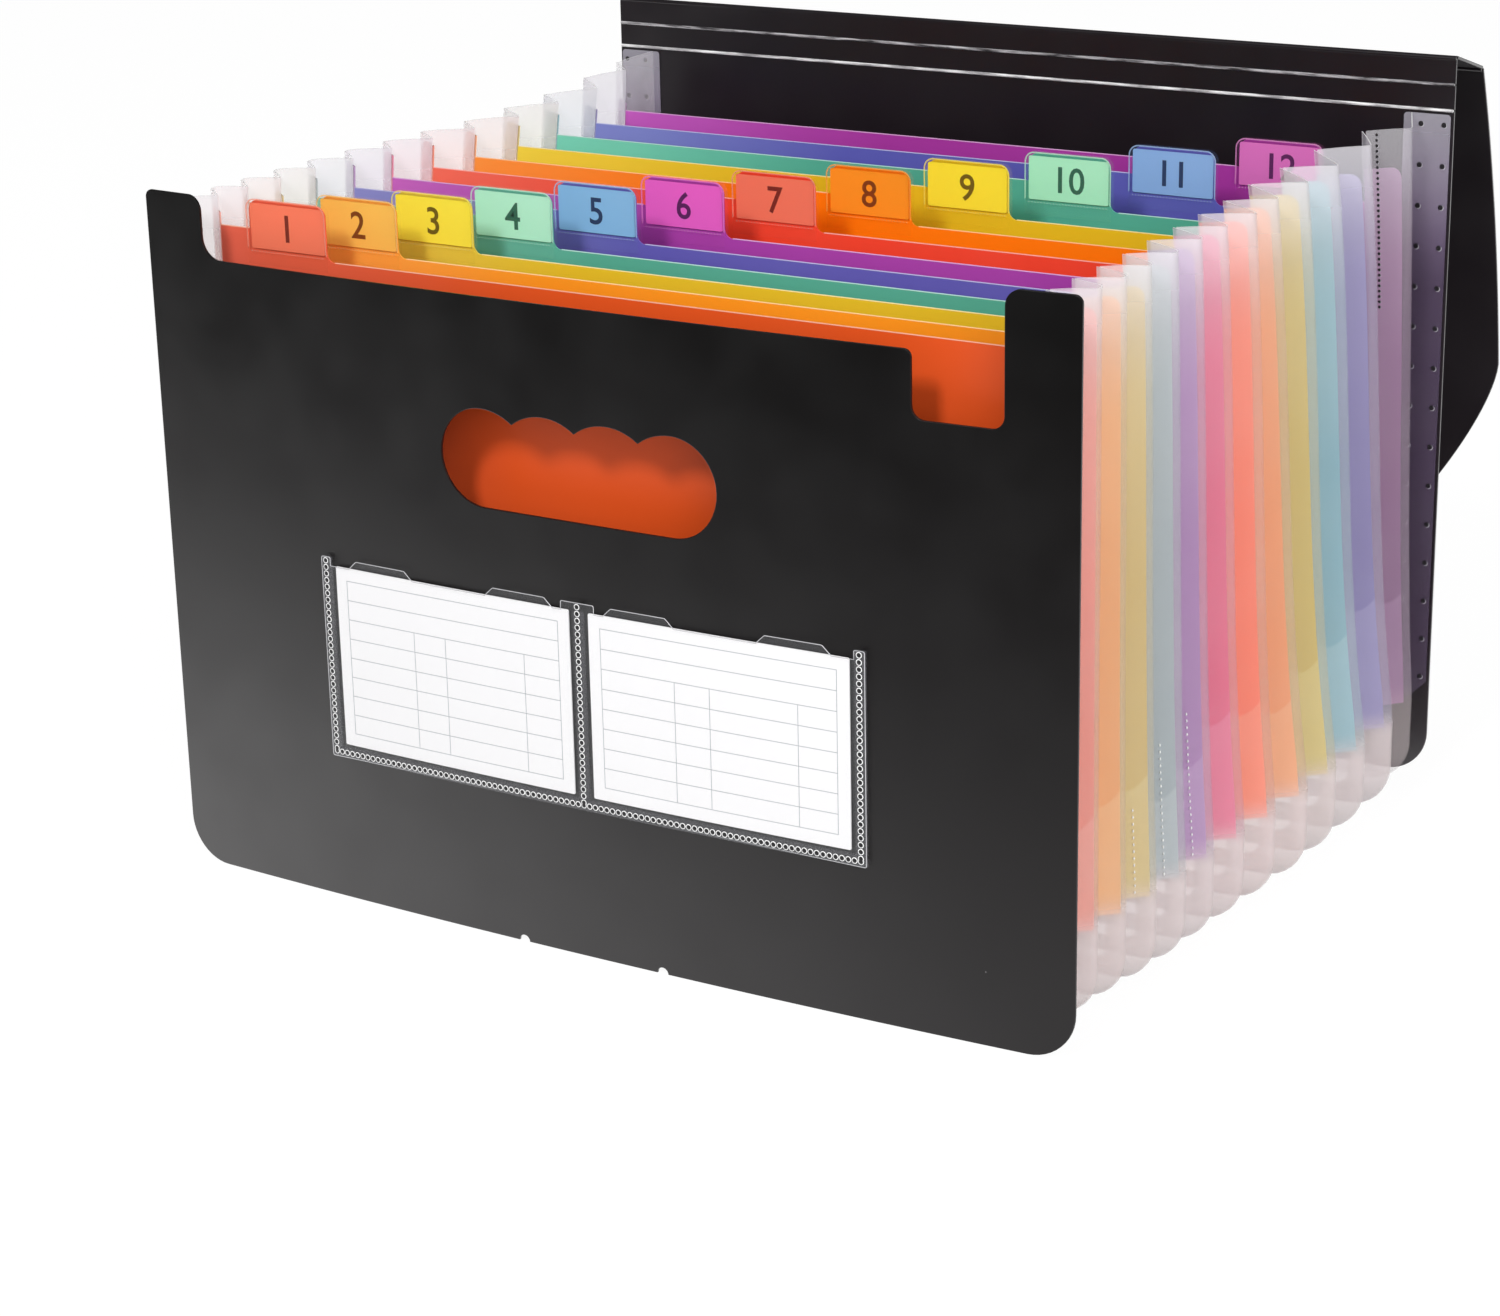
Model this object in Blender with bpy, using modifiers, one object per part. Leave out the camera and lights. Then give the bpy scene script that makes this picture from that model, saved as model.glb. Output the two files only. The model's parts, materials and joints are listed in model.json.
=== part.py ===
"""Accordion file folder, standing open on its lower edges.

Metres, +Z up. The origin is the middle of the rear cover's lower edge, +X runs
to the right along the covers and the front cover stands towards -Y.
"""
import math

import bmesh
import bpy
from mathutils import Matrix, Vector

# Covers and spine
COVER_WIDTH = 0.330
COVER_SHEET = 0.0010
COVER_CORNER_RADIUS = 0.015
REAR_COVER_HEIGHT = 0.233
FRONT_EDGE_HEIGHT = 0.2065
HORN_RISE = 0.020
HORN_WIDTH = 0.023
HORN_CORNER_RADIUS = 0.0050
EDGE_CORNER_RADIUS = 0.0025
HORN_FILLET_RADIUS = 0.0070
THUMB_NOTCH_WIDTH = 0.0286
THUMB_NOTCH_DEPTH = 0.020
THUMB_NOTCH_RADIUS = 0.0040
EDGE_NOTCH_RADIUS = 0.0020
EDGE_NOTCH_SPACING = 0.052
NARROW_STRIP = 0.0085
WIDE_STRIP = 0.0249
CREASE_GAP = 0.0005
WIDE_STRIP_FOLD = math.radians(106)
FLAP_FOLD = math.radians(52)
FLAP_LENGTH = 0.165
FLAP_STRAIGHT_SIDE = 0.112
FLAP_CORNER_CUT = 0.028
FLAP_BEND_RADIUS = 0.454
FLAP_CORNER_CURVE = 1.4

# Carrying hole with four finger lobes
HANDLE_END_RADIUS = 0.0155
HANDLE_CENTRE_HEIGHT = 0.1565
LOBE_PITCH = 0.0227
LOBE_RADIUS = 0.0193
LOBE_COUNT = 4

# Pockets
DIVIDER_COUNT = 12
OPEN_DEPTH = 0.26988
POCKET_WIDTH_STEP = 0.00116
SEAT_GAP = 0.0003

# Dividers, whose side margins are folded back behind the gusset film
DIVIDER_SHEET = 0.0004
DIVIDER_LOW_EDGE = 0.206
SHOULDER_RISE = 0.008
DIVIDER_CORNER_RADIUS = 0.0030
MARGIN_WIDTH = 0.010
MARGIN_ANGLE = math.radians(45)
MARGIN_CORNER_RADIUS = 0.0020

# Index tabs, their sleeves and paper labels
TAB_WIDTH = 0.0315
FIRST_TAB_LEFT = -0.1353
FIRST_TAB_PITCH = 0.0164
TAB_PITCH_STEP = 0.0010
TAB_RISE = 0.018
TAB_CORNER_RADIUS = 0.0035
SLEEVE_FILM = 0.0003
SLEEVE_SKIRT = 0.0030
SLEEVE_BORDER = 0.0008
LABEL_PAPER = 0.0003
LABEL_MARGIN = 0.0012

# Gusset film
FILM = 0.0003
FOLD_HALF_WIDTH = 0.146
PLEAT_DEPTH = 0.012
FOLD_CORNER_RADIUS = 0.0040
RIDGE_FLOOR_CLEARANCE = 0.0010
WELD_STRIP_WIDTH = 0.013
WELD_STRIP_BOTTOM = 0.028
WELD_STRIP_INSET = 0.0015
WELD_STRIP_CHAMFER = 0.0060

# Label pocket on the front cover
POCKET_FILM = 0.0003
POCKET_DEPTH = 0.0010
POCKET_WELD = 0.0035
POCKET_BOTTOM = 0.0495
CARD_WIDTH = 0.090
CARD_HEIGHT = 0.0595
CARD_THICKNESS = 0.0004
CARD_SIDE_PLAY = 0.0018
CARD_FOOT_PLAY = 0.0010
FINGER_TAB_WIDTH = 0.0252
FINGER_TAB_RISE = 0.0028
FINGER_TAB_SLOPE = 0.0030
FINGER_TAB_INSET = 0.00745
CENTRE_TAB_WIDTH = 0.012

# Places that follow from the sizes above
HORN_TOP = FRONT_EDGE_HEIGHT + HORN_RISE
FILM_TOP = HORN_TOP
TAB_TOP = DIVIDER_LOW_EDGE + TAB_RISE
SHOULDER = DIVIDER_LOW_EDGE + SHOULDER_RISE
FOLD_BOTTOM = RIDGE_FLOOR_CLEARANCE + PLEAT_DEPTH
STRIP_OUTER = COVER_WIDTH / 2 - WELD_STRIP_INSET
STRIP_INNER = STRIP_OUTER - WELD_STRIP_WIDTH

FIRST_POCKET_WIDTH = OPEN_DEPTH / (DIVIDER_COUNT + 1) - POCKET_WIDTH_STEP * DIVIDER_COUNT / 2
POCKET_WIDTHS = [FIRST_POCKET_WIDTH + step * POCKET_WIDTH_STEP for step in range(DIVIDER_COUNT + 1)]
PANEL_Y = [sum(POCKET_WIDTHS[:count]) - OPEN_DEPTH for count in range(DIVIDER_COUNT + 2)]

RAINBOW = {
    "red": (0.80, 0.10, 0.04), "orange": (0.95, 0.36, 0.02), "yellow": (0.88, 0.70, 0.03),
    "green": (0.10, 0.55, 0.40), "blue": (0.12, 0.14, 0.58), "purple": (0.42, 0.05, 0.45),
}


def new_collection(name):
    collection = bpy.data.collections.new(name)
    bpy.context.scene.collection.children.link(collection)
    return collection


def new_material(name, colour, roughness, alpha=1.0):
    material = bpy.data.materials.new(name)
    material.use_nodes = True
    shader = material.node_tree.nodes["Principled BSDF"]
    shader.inputs["Base Color"].default_value = (*colour, 1.0)
    shader.inputs["Roughness"].default_value = roughness
    shader.inputs["Metallic"].default_value = 0.0
    shader.inputs["Alpha"].default_value = alpha
    return material


def rounded(corners, steps=4):
    """Turn (x, z, radius) corners into a closed loop with arcs at the corners."""
    loop = []
    for index, (x, z, radius) in enumerate(corners):
        here = Vector((x, z))
        if not radius:
            loop.append(here)
            continue
        to_last = Vector(corners[index - 1][:2]) - here
        to_next = Vector(corners[(index + 1) % len(corners)][:2]) - here
        half_angle = to_last.angle(to_next) / 2
        reach = min(radius / math.tan(half_angle), to_last.length * 0.45, to_next.length * 0.45)
        radius = reach * math.tan(half_angle)
        middle = (to_last.normalized() + to_next.normalized()).normalized()
        centre = here + middle * radius / math.sin(half_angle)
        start = (here + to_last.normalized() * reach - centre).normalized()
        end = (here + to_next.normalized() * reach - centre).normalized()
        loop += [centre + radius * start.slerp(end, step / steps) for step in range(steps + 1)]
    return loop


def arc(centre, radius, start, end, steps):
    """Points on an arc in the cover's plane, angles in degrees from +X."""
    angles = [math.radians(start + (end - start) * step / steps) for step in range(steps + 1)]
    return [Vector((centre[0] + radius * math.cos(a), centre[1] + radius * math.sin(a))) for a in angles]


def plate_mesh(name, loops, thickness, middle_y=0.0):
    """Extrude closed loops in X and Z to a sheet, centred on middle_y."""
    curve = bpy.data.curves.new(name, "CURVE")
    curve.dimensions = "2D"
    curve.fill_mode = "BOTH"
    curve.extrude = thickness / 2
    for loop in loops:
        spline = curve.splines.new("POLY")
        spline.points.add(len(loop) - 1)
        for point, place in zip(spline.points, loop):
            point.co = (place[0], place[1], 0.0, 1.0)
        spline.use_cyclic_u = True
    guide = bpy.data.objects.new(name + "_outline", curve)
    bpy.context.scene.collection.objects.link(guide)
    bpy.context.view_layer.update()
    mesh = bpy.data.meshes.new_from_object(guide.evaluated_get(bpy.context.evaluated_depsgraph_get()))
    bpy.data.objects.remove(guide)
    bpy.data.curves.remove(curve)
    shape = bmesh.new()
    shape.from_mesh(mesh)
    bmesh.ops.remove_doubles(shape, verts=shape.verts, dist=1e-6)
    bmesh.ops.recalc_face_normals(shape, faces=shape.faces)
    shape.to_mesh(mesh)
    shape.free()
    mesh.name = name
    mesh.transform(Matrix.Translation((0.0, middle_y, 0.0)) @ Matrix.Rotation(math.pi / 2, 4, "X"))
    return mesh


def add_object(name, mesh, material, origin=(0.0, 0.0, 0.0), turn=0.0):
    part = bpy.data.objects.new(name, mesh)
    mesh.materials.clear()
    mesh.materials.append(material)
    part.location = origin
    part.rotation_euler.x = turn
    parts.objects.link(part)
    return part


def add_wall(part, thickness):
    wall = part.modifiers.new("wall", "SOLIDIFY")
    wall.thickness = thickness
    wall.offset = 0.0
    wall.use_even_offset = True
    wall.use_quality_normals = True
    return part


def add_sheet(name, rows, thickness, material, origin=(0.0, 0.0, 0.0), turn=0.0):
    """Join rows of points to an open surface, leaving out missing points, and give it its wall."""
    shape = bmesh.new()
    grid = [[point and shape.verts.new(point) for point in row] for row in rows]
    for row, next_row in zip(grid, grid[1:]):
        for column in range(len(row) - 1):
            corners = (row[column], row[column + 1], next_row[column + 1], next_row[column])
            if all(corners):
                shape.faces.new(corners)
    mesh = bpy.data.meshes.new(name)
    shape.to_mesh(mesh)
    shape.free()
    return add_wall(add_object(name, mesh, material, origin, turn), thickness)


def cut(part, mesh, origin):
    """Cut a part with a hidden body."""
    cutter = bpy.data.objects.new(mesh.name, mesh)
    cutter.location = origin
    cutter.hide_render = True
    cutter.display_type = "WIRE"
    cutters.objects.link(cutter)
    boolean = part.modifiers.new("cut", "BOOLEAN")
    boolean.operation = "DIFFERENCE"
    boolean.solver = "EXACT"
    boolean.object = cutter


def handle_loop():
    """Round ends, a straight lower edge and four shallow lobes for the fingers."""
    lobe_x = [(index - (LOBE_COUNT - 1) / 2) * LOBE_PITCH for index in range(LOBE_COUNT)]
    lobe_z = HANDLE_CENTRE_HEIGHT + HANDLE_END_RADIUS - LOBE_RADIUS
    spread = math.degrees(math.asin(LOBE_PITCH / 2 / LOBE_RADIUS))
    loop = arc((lobe_x[0], HANDLE_CENTRE_HEIGHT), HANDLE_END_RADIUS, 270, 90, 12)
    loop += arc((lobe_x[0], lobe_z), LOBE_RADIUS, 90, 90 - spread, 3)[1:]
    for x in lobe_x[1:-1]:
        loop += arc((x, lobe_z), LOBE_RADIUS, 90 + spread, 90 - spread, 6)[1:]
    loop += arc((lobe_x[-1], lobe_z), LOBE_RADIUS, 90 + spread, 90, 3)[1:]
    loop += arc((lobe_x[-1], HANDLE_CENTRE_HEIGHT), HANDLE_END_RADIUS, 90, -90, 12)[1:]
    return loop


def front_cover_loop():
    """Outline with two horns, a thumb notch and two small nicks in the lower edge."""
    side = COVER_WIDTH / 2
    horn = side - HORN_WIDTH
    notch_left = horn - THUMB_NOTCH_WIDTH
    notch_bottom = FRONT_EDGE_HEIGHT - THUMB_NOTCH_DEPTH
    corners = [(-side, 0.0, COVER_CORNER_RADIUS)]
    for x in (-EDGE_NOTCH_SPACING / 2, EDGE_NOTCH_SPACING / 2):
        corners += [(p.x, p.y, 0.0) for p in arc((x, 0.0), EDGE_NOTCH_RADIUS, 180, 0, 6)]
    corners += [
        (side, 0.0, COVER_CORNER_RADIUS),
        (side, HORN_TOP, EDGE_CORNER_RADIUS),
        (horn, HORN_TOP, HORN_CORNER_RADIUS),
        (horn, notch_bottom, THUMB_NOTCH_RADIUS),
        (notch_left, notch_bottom, THUMB_NOTCH_RADIUS),
        (notch_left, FRONT_EDGE_HEIGHT, EDGE_CORNER_RADIUS),
        (-horn, FRONT_EDGE_HEIGHT, HORN_FILLET_RADIUS),
        (-horn, HORN_TOP, HORN_CORNER_RADIUS),
        (-side, HORN_TOP, EDGE_CORNER_RADIUS),
    ]
    return rounded(corners)


def make_covers():
    loops = [front_cover_loop(), handle_loop()]
    mesh = plate_mesh("front_cover", loops, COVER_SHEET)
    add_object("front_cover", mesh, black_sheet, (0.0, PANEL_Y[0], 0.0))
    side = COVER_WIDTH / 2
    top = REAR_COVER_HEIGHT - CREASE_GAP / 2
    rear = rounded([
        (-side, 0.0, COVER_CORNER_RADIUS), (side, 0.0, COVER_CORNER_RADIUS), (side, top, 0.0), (-side, top, 0.0),
    ])
    add_object("rear_cover", plate_mesh("rear_cover", [rear], COVER_SHEET), black_sheet)


def strip_mesh(name, length, middle_y):
    """A strip of the spine between two creases, standing on its crease."""
    side = COVER_WIDTH / 2
    low = CREASE_GAP / 2
    high = length - CREASE_GAP / 2
    loop = [(-side, low), (side, low), (side, high), (-side, high)]
    return plate_mesh(name, [loop], COVER_SHEET, middle_y)


def make_spine_and_flap():
    """The cover sheet above the first crease, folded back behind the folder."""
    front_face = -COVER_SHEET / 2
    rear_face = COVER_SHEET / 2
    crease_z = REAR_COVER_HEIGHT
    for name in ("spine_strip_lower", "spine_strip_middle"):
        mesh = strip_mesh(name, NARROW_STRIP, COVER_SHEET / 2)
        add_object(name, mesh, black_sheet, (0.0, front_face, crease_z))
        crease_z += NARROW_STRIP
    wide = strip_mesh("spine_strip_top", WIDE_STRIP, -COVER_SHEET / 2)
    add_object("spine_strip_top", wide, black_sheet, (0.0, rear_face, crease_z), -WIDE_STRIP_FOLD)

    hinge_y = rear_face + WIDE_STRIP * math.sin(WIDE_STRIP_FOLD)
    hinge_z = crease_z + WIDE_STRIP * math.cos(WIDE_STRIP_FOLD)
    rows = []
    row_count = 18
    for row in range(row_count + 1):
        run = CREASE_GAP / 2 + (FLAP_LENGTH - CREASE_GAP / 2) * row / row_count
        past = max(run - FLAP_STRAIGHT_SIDE, 0.0) / (FLAP_LENGTH - FLAP_STRAIGHT_SIDE)
        half = COVER_WIDTH / 2 - FLAP_CORNER_CUT * past ** FLAP_CORNER_CURVE
        bend = run / FLAP_BEND_RADIUS
        y = FLAP_BEND_RADIUS * (1.0 - math.cos(bend)) - COVER_SHEET / 2
        z = FLAP_BEND_RADIUS * math.sin(bend)
        rows.append([(-half, y, z), (half, y, z)])
    turn = -(WIDE_STRIP_FOLD + FLAP_FOLD)
    add_sheet("flap", rows, COVER_SHEET, black_sheet, (0.0, hinge_y, hinge_z), turn)


def divider_mesh(name, tab_left, tab_right):
    """High shoulder left of the tab, tongue of the tab, low edge right of it."""
    side = FOLD_HALF_WIDTH
    tongue_top = TAB_TOP - SLEEVE_FILM - SEAT_GAP
    loop = rounded([
        (-side, FOLD_BOTTOM, FOLD_CORNER_RADIUS), (side, FOLD_BOTTOM, FOLD_CORNER_RADIUS),
        (side, DIVIDER_LOW_EDGE, 0.0), (tab_right, DIVIDER_LOW_EDGE, DIVIDER_CORNER_RADIUS),
        (tab_right, tongue_top, TAB_CORNER_RADIUS), (tab_left, tongue_top, TAB_CORNER_RADIUS),
        (tab_left, SHOULDER, 0.0), (-side, SHOULDER, 0.0),
    ])
    shape = bmesh.new()
    shape.faces.new([shape.verts.new((x, 0.0, z)) for x, z in loop])
    for sign in (-1, 1):
        on_side = [edge for edge in shape.edges if all(abs(v.co.x - sign * side) < 1e-6 for v in edge.verts)]
        extruded = bmesh.ops.extrude_edge_only(shape, edges=[max(on_side, key=lambda edge: edge.calc_length())])
        outer = [item for item in extruded["geom"] if isinstance(item, bmesh.types.BMVert)]
        outwards = sign * MARGIN_WIDTH * math.cos(MARGIN_ANGLE)
        backwards = MARGIN_WIDTH * math.sin(MARGIN_ANGLE)
        bmesh.ops.translate(shape, verts=outer, vec=(outwards, backwards, 0.0))
        bmesh.ops.bevel(
            shape, geom=outer, offset=MARGIN_CORNER_RADIUS, segments=3, profile=0.5, affect="VERTICES"
        )
    bmesh.ops.recalc_face_normals(shape, faces=shape.faces)
    mesh = bpy.data.meshes.new(name)
    shape.to_mesh(mesh)
    shape.free()
    return mesh


def make_divider(number, colour):
    """A divider sheet, the clear sleeve over its tongue and the paper label inside."""
    y = PANEL_Y[number]
    left = FIRST_TAB_LEFT + sum(FIRST_TAB_PITCH + TAB_PITCH_STEP * step for step in range(number - 1))
    right = left + TAB_WIDTH
    sheet = new_material("divider_sheet_%02d" % number, RAINBOW[colour], 0.35)
    sleeve_colour = [0.4 + 0.6 * value for value in RAINBOW[colour]]
    sleeve = new_material("tab_sleeve_%02d" % number, sleeve_colour, 0.15, 0.6)

    name = "divider_%02d" % number
    mesh = divider_mesh(name, left + SLEEVE_BORDER, right - SLEEVE_BORDER)
    add_wall(add_object(name, mesh, sheet, (0.0, y, 0.0)), DIVIDER_SHEET)

    slot_front = -(DIVIDER_SHEET / 2 + SEAT_GAP + LABEL_PAPER + SEAT_GAP)
    slot_rear = DIVIDER_SHEET / 2 + SEAT_GAP
    foot = DIVIDER_LOW_EDGE - SLEEVE_SKIRT
    shell = rounded([
        (left, foot, 0.0), (right, foot, 0.0),
        (right, TAB_TOP, TAB_CORNER_RADIUS), (left, TAB_TOP, TAB_CORNER_RADIUS),
    ])
    name = "tab_sleeve_%02d" % number
    middle = (slot_front + slot_rear) / 2
    depth = slot_rear - slot_front
    part = add_object(name, plate_mesh(name, [shell], depth + 2 * SLEEVE_FILM, middle), sleeve, (0.0, y, 0.0))
    slot_top = TAB_TOP - SLEEVE_FILM
    past = TAB_WIDTH / 10
    slot = [(left - past, foot - past), (right + past, foot - past), (right + past, slot_top), (left - past, slot_top)]
    cut(part, plate_mesh(name + "_slot", [slot], depth, middle), (0.0, y, 0.0))

    label_top = TAB_TOP - SLEEVE_FILM - LABEL_MARGIN
    label_low = DIVIDER_LOW_EDGE + LABEL_MARGIN
    label = [
        (left + LABEL_MARGIN, label_low), (right - LABEL_MARGIN, label_low),
        (right - LABEL_MARGIN, label_top), (left + LABEL_MARGIN, label_top),
    ]
    label_y = -(DIVIDER_SHEET / 2 + SEAT_GAP + LABEL_PAPER / 2)
    name = "tab_label_%02d" % number
    add_object(name, plate_mesh(name, [label], LABEL_PAPER, label_y), paper, (0.0, y, 0.0))


def u_path(outset):
    """The line of a fold, this far outside the dividers' folds: down, along the bottom and up."""
    half = FOLD_HALF_WIDTH + outset
    radius = FOLD_CORNER_RADIUS + outset
    centre = (FOLD_CORNER_RADIUS - FOLD_HALF_WIDTH, FOLD_BOTTOM + FOLD_CORNER_RADIUS)
    left = [(-half, FILM_TOP), (-half, WELD_STRIP_BOTTOM)]
    left += [tuple(point) for point in arc(centre, radius, 180, 270, 4)]
    return left + [(-x, z) for x, z in reversed(left)]


def weld_strip_path():
    """Outer edges of the two end strips that lie flat on a cover."""
    outer = [(-STRIP_OUTER, FILM_TOP), (-STRIP_OUTER, WELD_STRIP_BOTTOM + WELD_STRIP_CHAMFER)]
    return outer + [None] * (len(u_path(0.0)) - 4) + [(-x, z) for x, z in reversed(outer)]


def make_pleat(number):
    """One pocket's U of film: fold, ridge and fold, from panel to panel."""
    clear_of_divider = DIVIDER_SHEET / 2 + SEAT_GAP + FILM / 2
    clear_of_cover = COVER_SHEET / 2 + SEAT_GAP + FILM / 2
    strip_outset = STRIP_INNER - FOLD_HALF_WIDTH
    if number == 1:
        front_y = PANEL_Y[0] + clear_of_cover
        front = [(front_y, weld_strip_path()), (front_y, u_path(strip_outset))]
        ridge_y = PANEL_Y[0] + POCKET_WIDTHS[0] / 2
    else:
        front_outset = clear_of_divider / math.sin(MARGIN_ANGLE)
        front = [(PANEL_Y[number - 1], u_path(front_outset))]
        ridge_y = PANEL_Y[number - 1] + (PLEAT_DEPTH - front_outset) * math.tan(MARGIN_ANGLE)
    if number == DIVIDER_COUNT + 1:
        rear_y = PANEL_Y[number] - clear_of_cover
        rear = [(rear_y, u_path(strip_outset)), (rear_y, weld_strip_path())]
    else:
        rear = [(PANEL_Y[number] - clear_of_divider, u_path(0.0))]
    origin_y = PANEL_Y[number]
    lines = front + [(ridge_y, u_path(PLEAT_DEPTH))] + rear
    rows = [[place and (place[0], y - origin_y, place[1]) for place in path] for y, path in lines]
    add_sheet("gusset_pleat_%02d" % number, rows, FILM, gusset_film, (0.0, origin_y, 0.0))


def label_pocket_loop(half, top):
    """Outer outline of the pocket film: the welds and the finger tabs rise above its open edge."""
    edge = top - FINGER_TAB_RISE
    low_half = FINGER_TAB_WIDTH / 2
    high_half = low_half - FINGER_TAB_SLOPE
    inner_tab = POCKET_WELD / 2 + FINGER_TAB_INSET + low_half
    outer_tab = half - POCKET_WELD - FINGER_TAB_INSET - low_half
    loop = [(-half, POCKET_BOTTOM), (half, POCKET_BOTTOM), (half, top), (half - POCKET_WELD, top)]
    loop.append((half - POCKET_WELD, edge))
    raised = []
    for centre in (outer_tab, inner_tab):
        raised += [
            (centre + low_half, edge), (centre + high_half, top),
            (centre - high_half, top), (centre - low_half, edge),
        ]
    loop += raised
    loop += [(CENTRE_TAB_WIDTH / 2, edge), (CENTRE_TAB_WIDTH / 2, top)]
    loop += [(-CENTRE_TAB_WIDTH / 2, top), (-CENTRE_TAB_WIDTH / 2, edge)]
    loop += [(-x, z) for x, z in reversed(raised)]
    return loop + [(POCKET_WELD - half, edge), (POCKET_WELD - half, top), (-half, top)]


def make_label_pocket():
    """Clear film welded round two cells, open at the top, with a card in each."""
    cell_width = CARD_WIDTH + 2 * CARD_SIDE_PLAY
    half = POCKET_WELD / 2 + cell_width + POCKET_WELD
    card_low = POCKET_BOTTOM + POCKET_WELD + CARD_FOOT_PLAY
    top = card_low + CARD_HEIGHT + FINGER_TAB_RISE
    back = -(COVER_SHEET / 2 + SEAT_GAP)
    thickness = POCKET_FILM + POCKET_DEPTH
    mesh = plate_mesh("label_pocket", [label_pocket_loop(half, top)], thickness, back - thickness / 2)
    origin = (0.0, PANEL_Y[0], 0.0)
    pocket = add_object("label_pocket", mesh, clear_film, origin)
    for name, side in (("left", -1), ("right", 1)):
        inner = POCKET_WELD / 2
        outer = inner + cell_width
        low = POCKET_BOTTOM + POCKET_WELD
        cell = [(side * inner, low), (side * outer, low), (side * outer, 2 * top), (side * inner, 2 * top)]
        depth = POCKET_DEPTH + SEAT_GAP
        cell_mesh = plate_mesh("card_cell_" + name, [cell], depth, back + SEAT_GAP - depth / 2)
        cut(pocket, cell_mesh, origin)
        centre = side * (inner + cell_width / 2)
        card = rounded([
            (centre - CARD_WIDTH / 2, card_low, EDGE_CORNER_RADIUS / 5),
            (centre + CARD_WIDTH / 2, card_low, EDGE_CORNER_RADIUS / 5),
            (centre + CARD_WIDTH / 2, card_low + CARD_HEIGHT, EDGE_CORNER_RADIUS / 5),
            (centre - CARD_WIDTH / 2, card_low + CARD_HEIGHT, EDGE_CORNER_RADIUS / 5),
        ], 1)
        card_y = back - POCKET_DEPTH / 2
        card_name = "label_card_" + name
        add_object(card_name, plate_mesh(card_name, [card], CARD_THICKNESS, card_y), paper, origin)


for old in list(bpy.data.objects):
    bpy.data.objects.remove(old)

parts = new_collection("accordion_file_folder")
cutters = new_collection("cutters")

black_sheet = new_material("black_polypropylene", (0.016, 0.015, 0.016), 0.4)
gusset_film = new_material("frosted_film", (0.80, 0.80, 0.84), 0.5, 0.5)
clear_film = new_material("clear_film", (0.85, 0.86, 0.88), 0.1, 0.3)
paper = new_material("white_paper", (0.86, 0.86, 0.86), 0.8)

make_covers()
make_spine_and_flap()
make_label_pocket()
colours = list(RAINBOW)
for divider_number in range(1, DIVIDER_COUNT + 1):
    make_divider(divider_number, colours[(divider_number - 1) % len(colours)])
for pleat_number in range(1, DIVIDER_COUNT + 2):
    make_pleat(pleat_number)
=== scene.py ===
# Accordion file folder, standing open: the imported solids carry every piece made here.
import json
import math

import bmesh
import bpy
from mathutils import Matrix, Vector

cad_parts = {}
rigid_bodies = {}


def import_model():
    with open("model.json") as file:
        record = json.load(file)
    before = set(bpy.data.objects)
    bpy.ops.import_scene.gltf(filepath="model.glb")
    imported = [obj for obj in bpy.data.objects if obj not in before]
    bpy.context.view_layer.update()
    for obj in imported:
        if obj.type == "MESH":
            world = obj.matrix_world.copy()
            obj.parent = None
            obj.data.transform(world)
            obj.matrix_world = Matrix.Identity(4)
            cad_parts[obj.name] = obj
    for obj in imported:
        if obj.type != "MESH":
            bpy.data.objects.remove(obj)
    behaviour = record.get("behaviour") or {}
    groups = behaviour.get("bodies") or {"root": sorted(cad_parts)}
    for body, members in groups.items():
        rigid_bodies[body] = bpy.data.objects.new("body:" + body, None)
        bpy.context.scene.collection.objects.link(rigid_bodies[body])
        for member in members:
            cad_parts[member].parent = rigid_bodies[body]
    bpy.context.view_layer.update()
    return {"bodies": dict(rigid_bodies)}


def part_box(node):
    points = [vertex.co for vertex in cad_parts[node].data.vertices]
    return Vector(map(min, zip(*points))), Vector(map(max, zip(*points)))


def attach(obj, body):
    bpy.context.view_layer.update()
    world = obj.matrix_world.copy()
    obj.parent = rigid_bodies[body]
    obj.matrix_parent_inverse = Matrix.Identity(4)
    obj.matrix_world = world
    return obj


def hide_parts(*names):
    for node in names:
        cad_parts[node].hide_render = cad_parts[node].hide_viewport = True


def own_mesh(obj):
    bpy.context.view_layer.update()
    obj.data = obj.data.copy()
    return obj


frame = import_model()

folder = bpy.data.collections.new("accordionFolder")
studio = bpy.data.collections.new("studio")
for group in (folder, studio):
    bpy.context.scene.collection.children.link(group)


def linearColour(hexText):
    values = [int(hexText[place:place + 2], 16) / 255 for place in (1, 3, 5)]
    return tuple(v / 12.92 if v <= 0.04045 else ((v + 0.055) / 1.055) ** 2.4 for v in values) + (1.0,)


def mixHex(first, second, share):
    pairs = [(int(first[p:p + 2], 16), int(second[p:p + 2], 16)) for p in (1, 3, 5)]
    return "#" + "".join("%02x" % round(a + (b - a) * share) for a, b in pairs)


def addNode(tree, kind, links=None, stops=(), **settings):
    # stops are a ramp's (place, colour), and a colour is hex or a grey number
    node = tree.nodes.new(kind)
    for key, value in settings.items():
        setattr(node, key, value)
    for key, value in (links or {}).items():
        if isinstance(value, bpy.types.NodeSocket):
            tree.links.new(value, node.inputs[key])
        else:
            node.inputs[key].default_value = value
    for index, (place, colour) in enumerate(stops):
        stop = node.color_ramp.elements[index]
        stop.position = place
        stop.color = linearColour(colour) if isinstance(colour, str) else (colour, colour, colour, 1.0)
    return node


def arcPoints(centre, radius, start, end, steps):
    angles = [math.radians(start + (end - start) * step / steps) for step in range(steps + 1)]
    return [(centre[0] + radius * math.cos(a), centre[1] + radius * math.sin(a)) for a in angles]


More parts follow.
